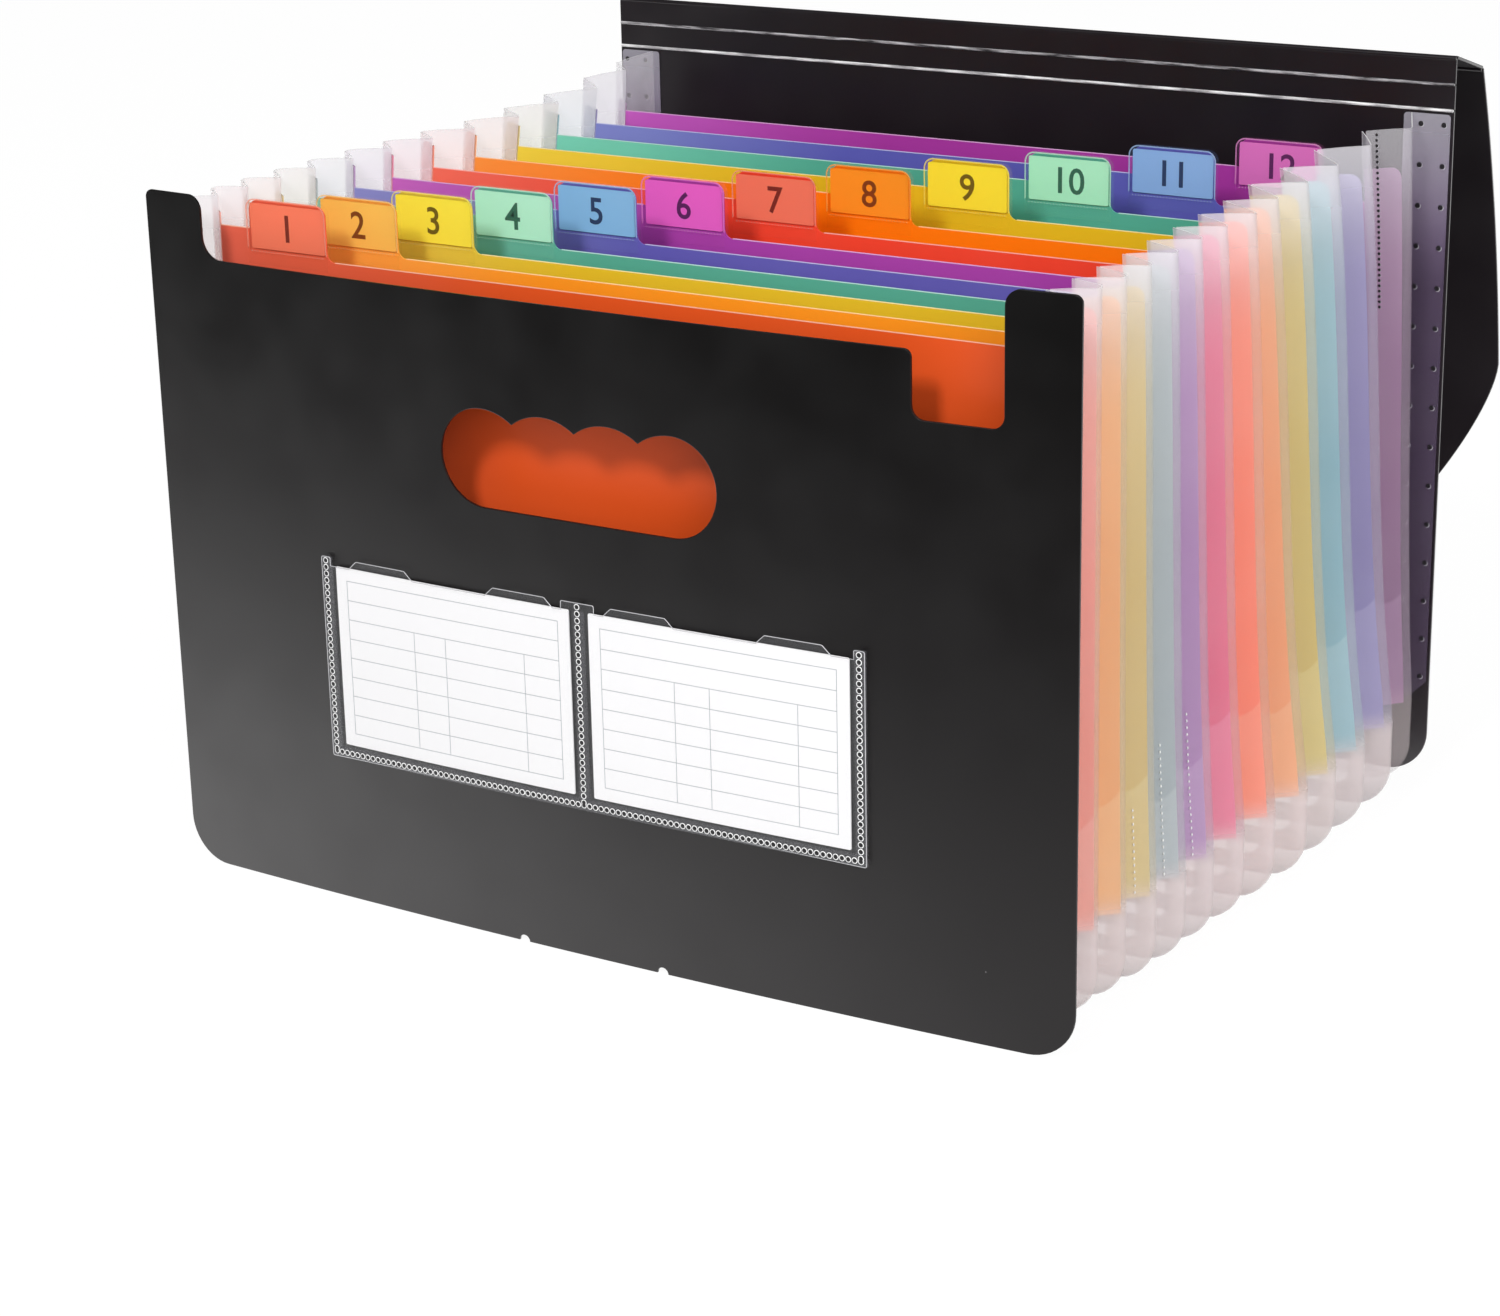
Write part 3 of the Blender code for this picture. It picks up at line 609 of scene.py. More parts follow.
spinePlan = {
    "rearHeight": 0.233, "narrowStrip": 0.0085, "wideStrip": 0.0249, "creaseGap": 0.0005, "footRadius": 0.015,
    "wideFold": 106, "flapFold": 52, "flapLength": 0.165, "flapStraight": 0.112, "flapCornerCut": 0.028,
    "flapBend": 0.454, "flapCurve": 1.4, "flapRows": 56, "creaseBead": 0.00055, "foldBead": 0.00100,
    "beadInset": 0.0003, "beadSteps": 60, "softEdge": 0.00018,
    # the lighter foot colour is a painted reflection of the pale floor, and the darker top colour is painted shade
    "paintedReflectionFootColour": "#241d22", "paintedShadeTopColour": "#1b161a", "paintedShadeHeight": 0.24,
}
spineMaterial = blackPolypropylene("blackPolypropyleneSpine", spinePlan["paintedReflectionFootColour"], spinePlan["paintedShadeTopColour"],
                                   spinePlan["paintedShadeHeight"])
# the crease beads' pale streaks are stress whitening and a painted highlight together
creaseBright = whitenedCrease("stressWhitenedHighlitCrease", "#9a979a", "#ffffff")
creaseFaint = whitenedCrease("faintWhitenedHighlitCrease", "#3a373a", "#c4c2c5")


def makeSpine(p):
    gap = p["creaseGap"] / 2
    rear = roundedLoop([
        (-halfWidth, 0.0, p["footRadius"]), (halfWidth, 0.0, p["footRadius"]),
        (halfWidth, p["rearHeight"] - gap, 0.0), (-halfWidth, p["rearHeight"] - gap, 0.0),
    ], steps=12)
    addPiece("rearCoverSheet", outlineMesh("rearCoverSheet", [rear], coverSheet, 0.0, p["softEdge"]), "rear_cover",
             [spineMaterial], ["rear_cover"])

    def strip(length):
        return [(-halfWidth, gap), (halfWidth, gap), (halfWidth, length - gap), (-halfWidth, length - gap)]

    z = p["rearHeight"]
    for node in ("spine_strip_lower", "spine_strip_middle"):
        mesh = outlineMesh(node + "_sheet", [strip(p["narrowStrip"])], coverSheet, 0.0, p["softEdge"])
        mesh.transform(Matrix.Translation((0.0, 0.0, z)))
        addPiece(node + "_sheet", mesh, node, [spineMaterial], [node])
        z += p["narrowStrip"]
    fold = -math.radians(p["wideFold"])
    hinge = Matrix.Translation((0.0, coverSheet / 2, z))
    node = "spine_strip_top"
    mesh = outlineMesh(node + "_sheet", [strip(p["wideStrip"])], coverSheet, -coverSheet / 2, p["softEdge"])
    mesh.transform(hinge @ Matrix.Rotation(fold, 4, "X"))
    addPiece(node + "_sheet", mesh, node, [spineMaterial], [node])

    flapY = coverSheet / 2 - p["wideStrip"] * math.sin(fold)
    flapZ = z + p["wideStrip"] * math.cos(fold)
    # the flap hangs in a slight curve, and its sides run in past the straight part
    rows = []
    for row in range(p["flapRows"] + 1):
        run = gap + (p["flapLength"] - gap) * row / p["flapRows"]
        past = max(run - p["flapStraight"], 0.0) / (p["flapLength"] - p["flapStraight"])
        half = halfWidth - p["flapCornerCut"] * past ** p["flapCurve"]
        bend = run / p["flapBend"]
        y = p["flapBend"] * (1.0 - math.cos(bend)) - coverSheet / 2
        rows.append([(half * side / 6, y, p["flapBend"] * math.sin(bend)) for side in range(-6, 7)])
    mesh = wallMesh("flap_sheet", gridMesh("flapRows", rows), coverSheet, [spineMaterial], edge=p["softEdge"])
    hang = Matrix.Rotation(fold - math.radians(p["flapFold"]), 4, "X")
    mesh.transform(Matrix.Translation((0.0, flapY, flapZ)) @ hang)
    addPiece("flap_sheet", mesh, "flap", None, ["flap"])

    # a thin bead closes each crease; each row is name, body, y, height, radius, material
    middleZ = p["rearHeight"] + p["narrowStrip"]
    creases = [
        ("lowerCreaseBead", "rear_cover", -coverSheet / 2, p["rearHeight"], p["creaseBead"], creaseBright),
        ("middleCreaseBead", "spine_strip_lower", -coverSheet / 2, middleZ, p["creaseBead"], creaseFaint),
        ("upperCreaseBead", "spine_strip_middle", coverSheet / 2, z, p["foldBead"], spineMaterial),
        ("flapCreaseBead", "spine_strip_top", flapY, flapZ, p["foldBead"], spineMaterial),
    ]
    half = halfWidth - p["beadInset"]
    steps = p["beadSteps"]
    for name, body, y, height, radius, material in creases:
        line = [(-half + 2 * half * step / steps, y, height) for step in range(steps + 1)]
        mesh = runTree(name, [line], beadTree, {"Radius": radius, "Sides": 16, "Bead": material})
        addPiece(name, mesh, body, smoothAngle=50)


makeSpine(spinePlan)
print("rear cover, spine and flap made")

sidePlan = {
    # how the soft sides stand: how far the film's ridges and folds stand outside the straight side, at its top
    # and at its foot, in millimetres
    "ridgeTop": (1.3, 2.8, 2.6, 2.0, 1.7, 0.5, -0.7, -0.9, -3.6, -3.9, -4.1, -4.0, -1.1),
    "ridgeFoot": (2.6, 4.0, 5.2, 6.8, 7.9, 8.3, 9.2, 10.2, 11.2, 11.1, 10.9, 10.4, 6.9),
    "foldTop": (0.8, 0.8, 0.4, 0.0, -1.3, -2.3, -4.0, -6.0, -8.0, -7.9, -7.1, -1.5),
    "foldFoot": (3.3, 4.6, 6.0, 7.3, 8.1, 8.7, 9.7, 10.7, 11.2, 11.0, 10.7, 8.8),
    # the film's upper edge sags towards the front and is welded higher up on the rear cover:
    # millimetres from the front cover, and the rise there in millimetres
    "topRise": (
        (0, -3.0), (40, -2.8), (90, -2.2), (145, -2.4), (185, -0.9), (210, 0.2), (227, 2.0), (254, 3.5), (270, 5.3),
    ),
    "stillHalf": 0.120, "footHeight": 0.045, "ridgePlace": 0.0113, "riseFrom": 0.150,
    # the side's curve from top to foot, as factors of the height's share, its square and its cube
    "sideCurve": (1.45, -1.62, 1.17), "lowest": 1.05,
}


def between(knots, place):
    # straight lines between knots of (place, value, ...)
    index = 0
    while index < len(knots) - 2 and knots[index + 1][0] < place:
        index += 1
    first, second = knots[index], knots[index + 1]
    share = min(max((place - first[0]) / (second[0] - first[0]), 0.0), 1.0)
    return [a + (b - a) * share for a, b in zip(first[1:], second[1:])]


def sideKnots(p):
    knots = [(panelY[0], 0.0, 0.0)]
    for pleat in range(dividerCount + 1):
        ridgeY = panelY[pleat] + (p["ridgePlace"] if pleat else pocketWidths[0] / 2)
        knots.append((ridgeY, p["ridgeTop"][pleat], p["ridgeFoot"][pleat]))
        if pleat < dividerCount:
            knots.append((panelY[pleat + 1], p["foldTop"][pleat], p["foldFoot"][pleat]))
    return knots + [(panelY[-1], 0.0, 0.0)]


sideKnotList = sideKnots(sidePlan)


def sideShift(x, y, z, p=sidePlan):
    # how far a point near the sides moves out, in metres
    top, foot = between(sideKnotList, y)
    down = min(max((filmTop - z) / (filmTop - p["footHeight"]), 0.0), p["lowest"])
    first, second, third = p["sideCurve"]
    out = top + (foot - top) * down * (first + second * down + third * down * down)
    reach = min(max((abs(x) - p["stillHalf"]) / (dividerPlan["half"] - p["stillHalf"]), 0.0), 1.0)
    return (1 if x > 0 else -1) * out * reach / 1000


def topRise(y, p=sidePlan):
    # how far the film's upper edge stands over its straight height here, in metres
    return between(p["topRise"], (y - panelY[0]) * 1000)[0] / 1000


def raiseTops(mesh, p=sidePlan):
    for vertex in mesh.vertices:
        high = max((vertex.co.z - p["riseFrom"]) / (filmTop - p["riseFrom"]), 0.0)
        vertex.co.z += high * topRise(vertex.co.y, p)
    return mesh


def spreadSides(mesh):
    # the sheets' ends are pulled in at the top, where the sheets sag forward, and spread at the foot
    for vertex in mesh.vertices:
        vertex.co.x += sideShift(*vertex.co)
    return mesh


def upright(x, low, high, spacing=0.012):
    # the points between two ends of an upright edge
    count = max(1, round(abs(high - low) / spacing))
    return [(x, low + (high - low) * step / count, 0.0) for step in range(1, count)]


dividerPlan = {
    "half": 0.146, "foot": 0.013, "footRadius": 0.004, "lowEdge": 0.206, "shoulder": 0.214, "tongueTop": 0.2234,
    "stepRadius": 0.0030, "tabRadius": 0.0035, "border": 0.0008, "softEdge": 0.00006, "edgeLine": 0.00024,
    "marginWidth": 0.0128, "marginAngle": 45, "marginFoot": 0.0320, "marginRadius": 0.0035, "cornerCut": 0.022,
    "cutRise": 0.001,
}
# each sheet's colour and its paler left end, from the front
sheetColours = [
    ("#f25a22", "#f46a52"), ("#fba022", "#fcb158"), ("#e4c62c", "#e6d561"), ("#5ab09c", "#84c9ba"),
    ("#6a60bb", "#9b97d6"), ("#b545ae", "#d86fc8"), ("#ff4a30", "#ff7a62"), ("#ff8208", "#ffa045"),
    ("#e6c622", "#f6e24a"), ("#55b09c", "#84e0cc"), ("#6260bb", "#8f92d6"), ("#b03aa2", "#d060c4"),
]
marginColours = ["#f38a76", "#f2a555", "#d6b866", "#a4b0b6", "#ab72b4", "#ea4f7c", "#ff6f45", "#f29550", "#d0b650",
                 "#7cb0c0", "#7a6cae", "#7e3f78"]
# where each margin ends at the top, and where its two layers end
marginTops = [0.2180, 0.2180, 0.2175, 0.2200, 0.2212, 0.2215, 0.2215, 0.2215, 0.2212, 0.2212, 0.2190, 0.2168]
overlapHeights = [0.063, 0.066, 0.066, 0.057, 0.061, 0.069, 0.066, 0.060, 0.0665, 0.068, 0.073, 0.068]


def makeDivider(number, p):
    body = "divider_%02d" % number
    y = panelY[number]
    sleeveLow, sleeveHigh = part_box("tab_sleeve_%02d" % number)
    left, right = sleeveLow.x + p["border"], sleeveHigh.x - p["border"]
    colour, pale = sheetColours[number - 1]
    sheet = colouredSheet("translucentSheet%02d" % number, colour, pale)
    side = p["half"]
    cut = p["marginFoot"] + p["cutRise"]
    loop = roundedLoop([
        (-side, cut, 0.0), (p["cornerCut"] - side, p["foot"], p["footRadius"]),
        (side - p["cornerCut"], p["foot"], p["footRadius"]), (side, cut, 0.0),
        *upright(side, cut, p["lowEdge"]), (side, p["lowEdge"], 0.0),
        (right, p["lowEdge"], p["stepRadius"]), (right, p["tongueTop"], p["tabRadius"]),
        (left, p["tongueTop"], p["tabRadius"]), (left, p["shoulder"], 0.0),
        (-side, p["shoulder"], 0.0), *upright(-side, p["shoulder"], cut),
    ], steps=10)
    mesh = outlineMesh(body + "_sheet", [loop], sheetThickness, y, p["softEdge"])
    addPiece(body + "_sheet", spreadSides(mesh), body, [sheet], [body])

    # the cut edge of the sheet catches the light: a fine pale line along its top
    cutEdge = clearFilm("sheetCutEdge%02d" % number, mixHex(colour, "#ffffff", 0.5), alpha=1.0, roughness=0.25)
    lines = [
        [(-side + sideShift(-side, y, p["shoulder"]), y, p["shoulder"]), (left - 0.001, y, p["shoulder"])],
        [(right + p["stepRadius"], y, p["lowEdge"]), (side + sideShift(side, y, p["lowEdge"]), y, p["lowEdge"])],
    ]
    mesh = runTree(body + "_edge", lines, beadTree, {"Radius": p["edgeLine"], "Sides": 8, "Bead": cutEdge})
    addPiece(body + "_edge", mesh, body, smoothAngle=60)

    angle = math.radians(p["marginAngle"])
    overlap = overlapHeights[number - 1]
    halfOut, halfBack = p["marginWidth"] * math.cos(angle) / 2, p["marginWidth"] * math.sin(angle) / 2
    centre = side + halfOut + sideShift(side, y + halfBack, overlap)
    margin = marginSheet("foldedMargin%02d" % number, marginColours[number - 1], overlap, centre)
    sides = []
    top = marginTops[number - 1]
    for sign in (-1, 1):
        strip = roundedLoop([
            (0.0, p["marginFoot"], 0.0), (p["marginWidth"], p["marginFoot"], 0.0),
            *upright(p["marginWidth"], p["marginFoot"], top),
            (p["marginWidth"], top, p["marginRadius"]), (0.0, top, 0.0),
            *upright(0.0, top, p["marginFoot"]),
        ], steps=6)
        part = outlineMesh("margin", [strip], sheetThickness, 0.0, p["softEdge"])
        for vertex in part.vertices:
            run, through = vertex.co.x, vertex.co.y
            vertex.co.x = sign * (side + run * math.cos(angle) - through * math.sin(angle))
            vertex.co.y = y + run * math.sin(angle) + through * math.cos(angle)
        if sign < 0:
            part.flip_normals()
        sides.append(spreadSides(part))
    piece = addPiece(body + "_margins", joinedMesh(body + "_margins", sides), body, [margin], [body])
    foldAway(piece)


for number in range(1, dividerCount + 1):
    makeDivider(number, dividerPlan)
print("dividers made")

tabPlan = {
    "radius": 0.0035, "film": 0.0003, "highlightRimWidth": 0.00045, "highlightRimRise": 0.00020, "labelRise": 0.0009, "skirt": 0.0054,
    "labelRadius": 0.0006, "digitHeight": 0.0084, "digitWeight": 0.00013, "digitDepth": 0.00004, "digitRise": 0.00003,
    "dotPitch": 0.0011, "dotRadii": (0.00026, 0.00006, 0.00020), "dotDrop": 0.0008, "dotInset": 0.0016,
    "softEdge": 0.00005, "families": ("red", "orange", "yellow", "green", "blue", "purple"),
}
# the labels' paper from the front, and the ink that goes with each colour family
labelColours = ["#ff7d5b", "#ffc854", "#fff13e", "#befbde", "#8ec5f0", "#f962d0", "#ff7c5d", "#ff9a0c", "#fff02d",
                "#b4f9d3", "#91baed", "#ea76c7"]
inkColours = ["#6e1b10", "#6b2a06", "#57470a", "#1c5543", "#16294e", "#4a0f4a"]


def numberMesh(name, text, middle, frontY, p):
    curve = bpy.data.curves.new(name, "FONT")
    curve.body = text
    curve.size = p["digitHeight"] / 0.69  # the default font's digits stand 0.69 of its size
    curve.align_x = "CENTER"
    curve.extrude = p["digitDepth"] / 2
    curve.offset = p["digitWeight"]
    curve.resolution_u = 4
    mesh = meshFromShape(name, mergedShape(evaluatedMesh(linkedObject(name, curve), name + "_curve"), 1e-6))
    mesh.transform(Matrix.Translation((middle[0], frontY, middle[1])) @ Matrix.Rotation(math.pi / 2, 4, "X"))
    return mesh


def makeTab(number, p):
    tone = labelColours[number - 1]
    deep = sheetColours[number - 1][0]
    family = (number - 1) % len(p["families"])
    body = "divider_%02d" % number
    sleeveNode = "tab_sleeve_%02d" % number
    low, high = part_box(sleeveNode)
    film = clearFilm("tintedSleeveFilm%02d" % number, mixHex(tone, deep, 0.4), alpha=0.035)
    # the pale rim round each sleeve is a painted highlight along the sleeve's edge
    rim = clearFilm("sleeveRimHighlight%02d" % number, mixHex(tone, "#ffffff", 0.25), alpha=0.5, roughness=0.10)

    def sleeveLoop(inset, start):
        return roundedLoop([
            (low.x + inset, start + inset, 0.0), (high.x - inset, start + inset, 0.0),
            (high.x - inset, high.z - inset, p["radius"] - inset),
            (low.x + inset, high.z - inset, p["radius"] - inset),
        ], steps=8)

    labelNode = "tab_label_%02d" % number
    labelLow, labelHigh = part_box(labelNode)
    foot = labelLow.z + p["labelRise"]
    sleeveFoot = max(low.z, foot - p["skirt"])
    wallPlaces = (low.y + p["film"] / 2, high.y - p["film"] / 2)
    wallLoop = [sleeveLoop(0.0, sleeveFoot)]
    walls = [outlineMesh("wall", wallLoop, p["film"], y, p["softEdge"]) for y in wallPlaces]
    mesh = joinedMesh(sleeveNode + "_film", walls)
    addPiece(mesh.name, mesh, body, [film], [sleeveNode])

    outer = sleeveLoop(0.0, foot)
    inner = sleeveLoop(p["highlightRimWidth"], foot)
    band = outer[1:] + [outer[0]] + [inner[0]] + list(reversed(inner[1:]))
    mesh = outlineMesh(sleeveNode + "_rim", [band], p["highlightRimRise"], low.y - p["highlightRimRise"] / 2, p["softEdge"])
    addPiece(mesh.name, mesh, body, [rim], [sleeveNode])

    label = roundedLoop([
        (labelLow.x, foot, p["labelRadius"]), (labelHigh.x, foot, p["labelRadius"]),
        (labelHigh.x, labelHigh.z, p["labelRadius"]), (labelLow.x, labelHigh.z, p["labelRadius"]),
    ], steps=3)
    stock = paperStock("tintedLabelPaper%02d" % number, tone)
    mesh = outlineMesh(labelNode + "_paper", [label], labelHigh.y - labelLow.y, (labelLow.y + labelHigh.y) / 2)
    addPiece(mesh.name, mesh, labelNode, [stock], [labelNode])
    middle = ((labelLow.x + labelHigh.x) / 2, (foot + labelHigh.z) / 2 - p["digitHeight"] / 2)
    ink = printedInk("labelInk%02d" % number, inkColours[family])
    mesh = numberMesh(labelNode + "_number", str(number), middle, labelLow.y - p["digitRise"], p)
    addPiece(mesh.name, mesh, labelNode, [ink])

    # fine spot welds hold the sleeve to the sheet just under the label
    y, z = low.y - p["digitRise"], foot - p["dotDrop"]
    line = [(low.x + p["dotInset"], y, z), (high.x - p["dotInset"], y, z)]
    pale = clearFilm("sleeveWeld%02d" % number, mixHex(tone, "#ffffff", 0.45), alpha=0.45)
    values = {"Spacing": p["dotPitch"], "Dot Radii": p["dotRadii"], "Dot": pale}
    mesh = runTree(sleeveNode + "_welds", [line], dotTree, values)
    addPiece(mesh.name, mesh, body)


for number in range(1, dividerCount + 1):
    makeTab(number, tabPlan)
print("tabs and labels made")

filmPlan = {
    "film": 0.0003, "half": 0.146, "foot": 0.013, "cornerRadius": 0.004, "stripFoot": 0.028,
    "ridge": 0.012, "lean": 45, "gap": 0.00065, "coverGap": 0.00095, "shutGap": 0.0015, "ridgeRadius": 0.0025,
    "ripple": 0.0003, "rippleLength": 0.055, "profilePoints": 26, "droop": 0.0007,
    "stripInner": 0.1505, "stripChamfer": 0.006, "spacing": 0.008, "seedStep": 3.7,
    # from this share of its width on, a pleat counts as its rear half
    "rearFrom": 0.55,
    "frontAlpha": 0.17, "rearAlpha": 0.30, "leftAlpha": 0.24, "edgeAlpha": 0.80, "leftEdgeAlpha": 0.30,
    # a whiter, more opaque band at the upper edge, and a whiter foot that is painted light, standing in for light
    # coming through the film from the pale floor: from height, to height, alpha, colour
    "whiteBands": ((0.18, 0.235, 0.34, "#f4f1f6"), (0.040, 0.029, 0.35, "#fff2f2")),
    "lastWhiteBands": ((0.18, 0.235, 0.20, "#f4f1f6"), (0.040, 0.029, 0.13, "#fff2f2")),
}
# light scattered from the coloured sheets behind is painted into the frosted film as a tint: each pleat's rear half on
# the right takes one of these
filmScatteredLightTints = ["#f0c0b8", "#fbb590", "#f0c69c", "#c6c8bc", "#c0aac4", "#f58cac", "#fb868c", "#fb9070", "#f2b880",
             "#b8c0bc", "#a8a2c4", "#b28cc2", "#a49cac"]


def uLine(p):
    # down the right side, along the bottom and up the left side, in X and Z
    def straight(start, end):
        count = max(2, round((Vector(end) - Vector(start)).length / p["spacing"]))
        return [tuple(Vector(start).lerp(Vector(end), step / count)) for step in range(count)]
    half, radius, foot = p["half"], p["cornerRadius"], p["foot"]
    line = straight((half, filmTop), (half, foot + radius))
    line += arcPoints((half - radius, foot + radius), radius, 0, -90, 8)
    line += straight((half - radius, foot), (radius - half, foot))[1:]
    line += arcPoints((radius - half, foot + radius), radius, -90, -180, 8)
    line += straight((-half, foot + radius), (-half, filmTop))[1:] + [(-half, filmTop)]
    return [(x, 0.0, z) for x, z in line]


# the film's cut top edges are drawn whiter and more opaque than the film: a painted highlight
filmEdgeHighlight = frostedFilm("filmCutEdge", "#ffffff", filmPlan["edgeAlpha"], roughness=0.3)
leftFilmEdgeHighlight = frostedFilm("filmCutEdgeLeft", "#ffffff", filmPlan["leftEdgeAlpha"], roughness=0.3)


def makePleat(number, p):
    lean = math.radians(p["lean"])
    frontOutset = p["gap"] / math.sin(lean)
    values = {
        "Front Outset": frontOutset, "Front Y": panelY[number - 1],
        "Ridge Outset": p["ridge"], "Ridge Y": panelY[number - 1] + (p["ridge"] - frontOutset) * math.tan(lean),
        "Rear Outset": 0.0, "Rear Y": panelY[number] - p["gap"],
        "Ridge Radius": p["ridgeRadius"], "Profile Points": p["profilePoints"],
        "Ripple": p["ripple"], "Ripple Length": p["rippleLength"],
        "Ridge Droop": p["droop"], "Film Top": filmTop, "Seed": p["seedStep"] * number,
    }
    strip = p["stripInner"] - p["half"]
    if number == 1:
        ridgeY = (panelY[0] + panelY[1]) / 2
        values.update({"Front Outset": strip, "Front Y": panelY[0] + p["coverGap"], "Ridge Y": ridgeY})
    if number == dividerCount + 1:
        values.update({"Rear Outset": strip, "Rear Y": panelY[number] - p["coverGap"]})
    tint = filmScatteredLightTints[number - 1]
    # each pleat's front half is painted with the colour of light that the margin it lies over scatters into it, and its
    # rear and left films with the tint above
    over = marginColours[max(number - 2, 0)]
    whiteBands = p["lastWhiteBands"] if number > dividerCount else p["whiteBands"]
    front = frostedFilm("frostedFilmFront%02d" % number, mixHex(over, "#ffffff", 0.60), p["frontAlpha"], whiteBands=whiteBands)
    rear = frostedFilm("frostedFilmRear%02d" % number, tint, p["rearAlpha"], whiteBands=whiteBands)
    left = frostedFilm("frostedFilmLeft%02d" % number, mixHex("#f9f3fb", tint, 0.02), p["leftAlpha"])
    values["Film"] = front
    node = "gusset_pleat_%02d" % number
    behind = "divider_%02d" % number if number <= dividerCount else "rear_cover"
    body = node if node in frame["bodies"] else behind
    mesh = runTree(node + "_line", [uLine(p)], pleatTree, values)
    across = mesh.attributes["across"].data
    for face in mesh.polygons:
        rearHalf = sum(across[index].value for index in face.vertices) / len(face.vertices) > p["rearFrom"]
        face.material_index = 2 if face.center.x < 0 else int(rearHalf)
    spreadSides(raiseTops(mesh))
    mesh = wallMesh(node + "_film", mesh, p["film"], [front, rear, left, filmEdgeHighlight, filmEdgeHighlight, leftFilmEdgeHighlight], 3)
    for face in mesh.polygons:
        # only the upper edge keeps the bright cut-edge film, a painted highlight along the film's top, and the welded
        # edges look like the film beside them
        if face.material_index > 2 and abs(face.normal.z) < 0.5:
            face.material_index -= 3
    piece = addPiece(node + "_film", mesh, body, None, [node], smoothAngle=60)
    foldAway(piece)


for number in range(1, dividerCount + 2):
    makePleat(number, filmPlan)
print("gusset film made")

# the film's ends lie on the covers as weld strips, held by spot welds
stripPlan = {
    "thickness": 0.0003, "inner": 0.1478, "outer": 0.1641, "softEdge": 0.00004,
    "innerRadius": 0.0005, "chamferRadius": 0.001, "topRadius": 0.0012,
    "dotPitch": 0.0131, "dotColumns": (0.0061, 0.0141), "dotRadius": 0.0009, "dotDepth": 0.00006,
    "firstDot": 0.0035, "lastDot": 0.008, "hollowLift": 0.00008, "glintGrowth": 1.05, "glintShift": 0.20,
    "colour": "#c4a6dc", "alpha": 0.065, "roughness": 0.34, "whiteBands": ((0.17, 0.245, 0.42, "#c6c4cc"),),
}
stripFilm = frostedFilm("weldStripFilm", stripPlan["colour"], stripPlan["alpha"], stripPlan["roughness"],
                        stripPlan["whiteBands"])
# the weld hollows are flat dark dots that borrow the ink material; the real welds carry no ink
weldDark = printedInk("spotWeldHollow", "#131114")
weldPale = clearFilm("spotWeldRim", "#f4f2f8", alpha=0.34, roughness=0.2)
weldBright = clearFilm("spotWeldGlint", "#ffffff", alpha=1.0, roughness=0.2)


def addWeldDots(name, body, lines, outward, pitch, radius, p=stripPlan):
    # a dark hollow with a bright crescent where its rim catches the light
    parts = (
        ("glints", p["glintGrowth"], p["glintShift"], 0.0, weldPale), ("hollows", 1.0, 0.0, p["hollowLift"], weldDark),
    )
    for part, growth, shift, lift, material in parts:
        aside, out = radius * shift, outward * lift
        moved = [[(x + aside, y + out, z - aside) for x, y, z in line] for line in lines]
        radii = (radius * growth, p["dotDepth"], radius * growth)
        values = {"Spacing": pitch, "Dot Radii": radii, "Dot": material}
        mesh = runTree(name + "_" + part, moved, dotTree, values)
        addPiece(mesh.name, mesh, body)


def makeWeldStrips(body, y, outward, p, f):
    strips = []
    lines = []
    top = filmTop + topRise(y)
    for sign in (-1, 1):
        loop = roundedLoop([
            (sign * p["inner"], f["stripFoot"], p["innerRadius"]),
            (sign * (p["outer"] - f["stripChamfer"]), f["stripFoot"], p["chamferRadius"]),
            (sign * p["outer"], f["stripFoot"] + f["stripChamfer"], p["chamferRadius"]),
            (sign * p["outer"], top, p["topRadius"]), (sign * p["inner"], top, p["topRadius"]),
        ], steps=4)
        if sign < 0:
            loop.reverse()
        strips.append(outlineMesh("strip", [loop], p["thickness"], y, p["softEdge"]))
        face = y + outward * p["thickness"] / 2
        for column in p["dotColumns"]:
            x = sign * (p["inner"] + column)
            lines.append([(x, face, top - p["firstDot"]), (x, face, f["stripFoot"] + p["lastDot"])])
    name = body + "_weld_strips"
    addPiece(name, joinedMesh(name, strips), body, [stripFilm])
    addWeldDots(name, body, lines, outward, p["dotPitch"], p["dotRadius"])


makeWeldStrips("rear_cover", panelY[-1] - filmPlan["coverGap"], -1, stripPlan, filmPlan)
makeWeldStrips("front_cover", panelY[0] + filmPlan["coverGap"], 1, stripPlan, filmPlan)

marginWeldPlan = {
    "lastRun": 0.0042, "lastLow": 0.171, "lastHigh": 0.2280, "lastLift": 0.0012,
    "lastPitch": 0.00175, "lastRadius": 0.0005,
    "paleRun": 0.0080, "paleLow": 0.034, "paleHighs": {3: 0.060, 4: 0.075, 5: 0.079}, "paleLift": 0.0009,
    "palePitch": 0.0021, "paleRadii": (0.00024, 0.0003, 0.0005),
}


def marginLine(number, run, low, high, lift):
    # an upright line on the film just over a divider's right margin, this far out along the margin
    lean = math.radians(dividerPlan["marginAngle"])
    y = panelY[number] + run * math.sin(lean) - lift * math.cos(lean)
    heights = [high + (low - high) * step / 30 for step in range(31)]
    x = dividerPlan["half"] + run * math.cos(lean) + lift * math.sin(lean)
    return [(x + sideShift(x, y, z), y, z) for z in heights]


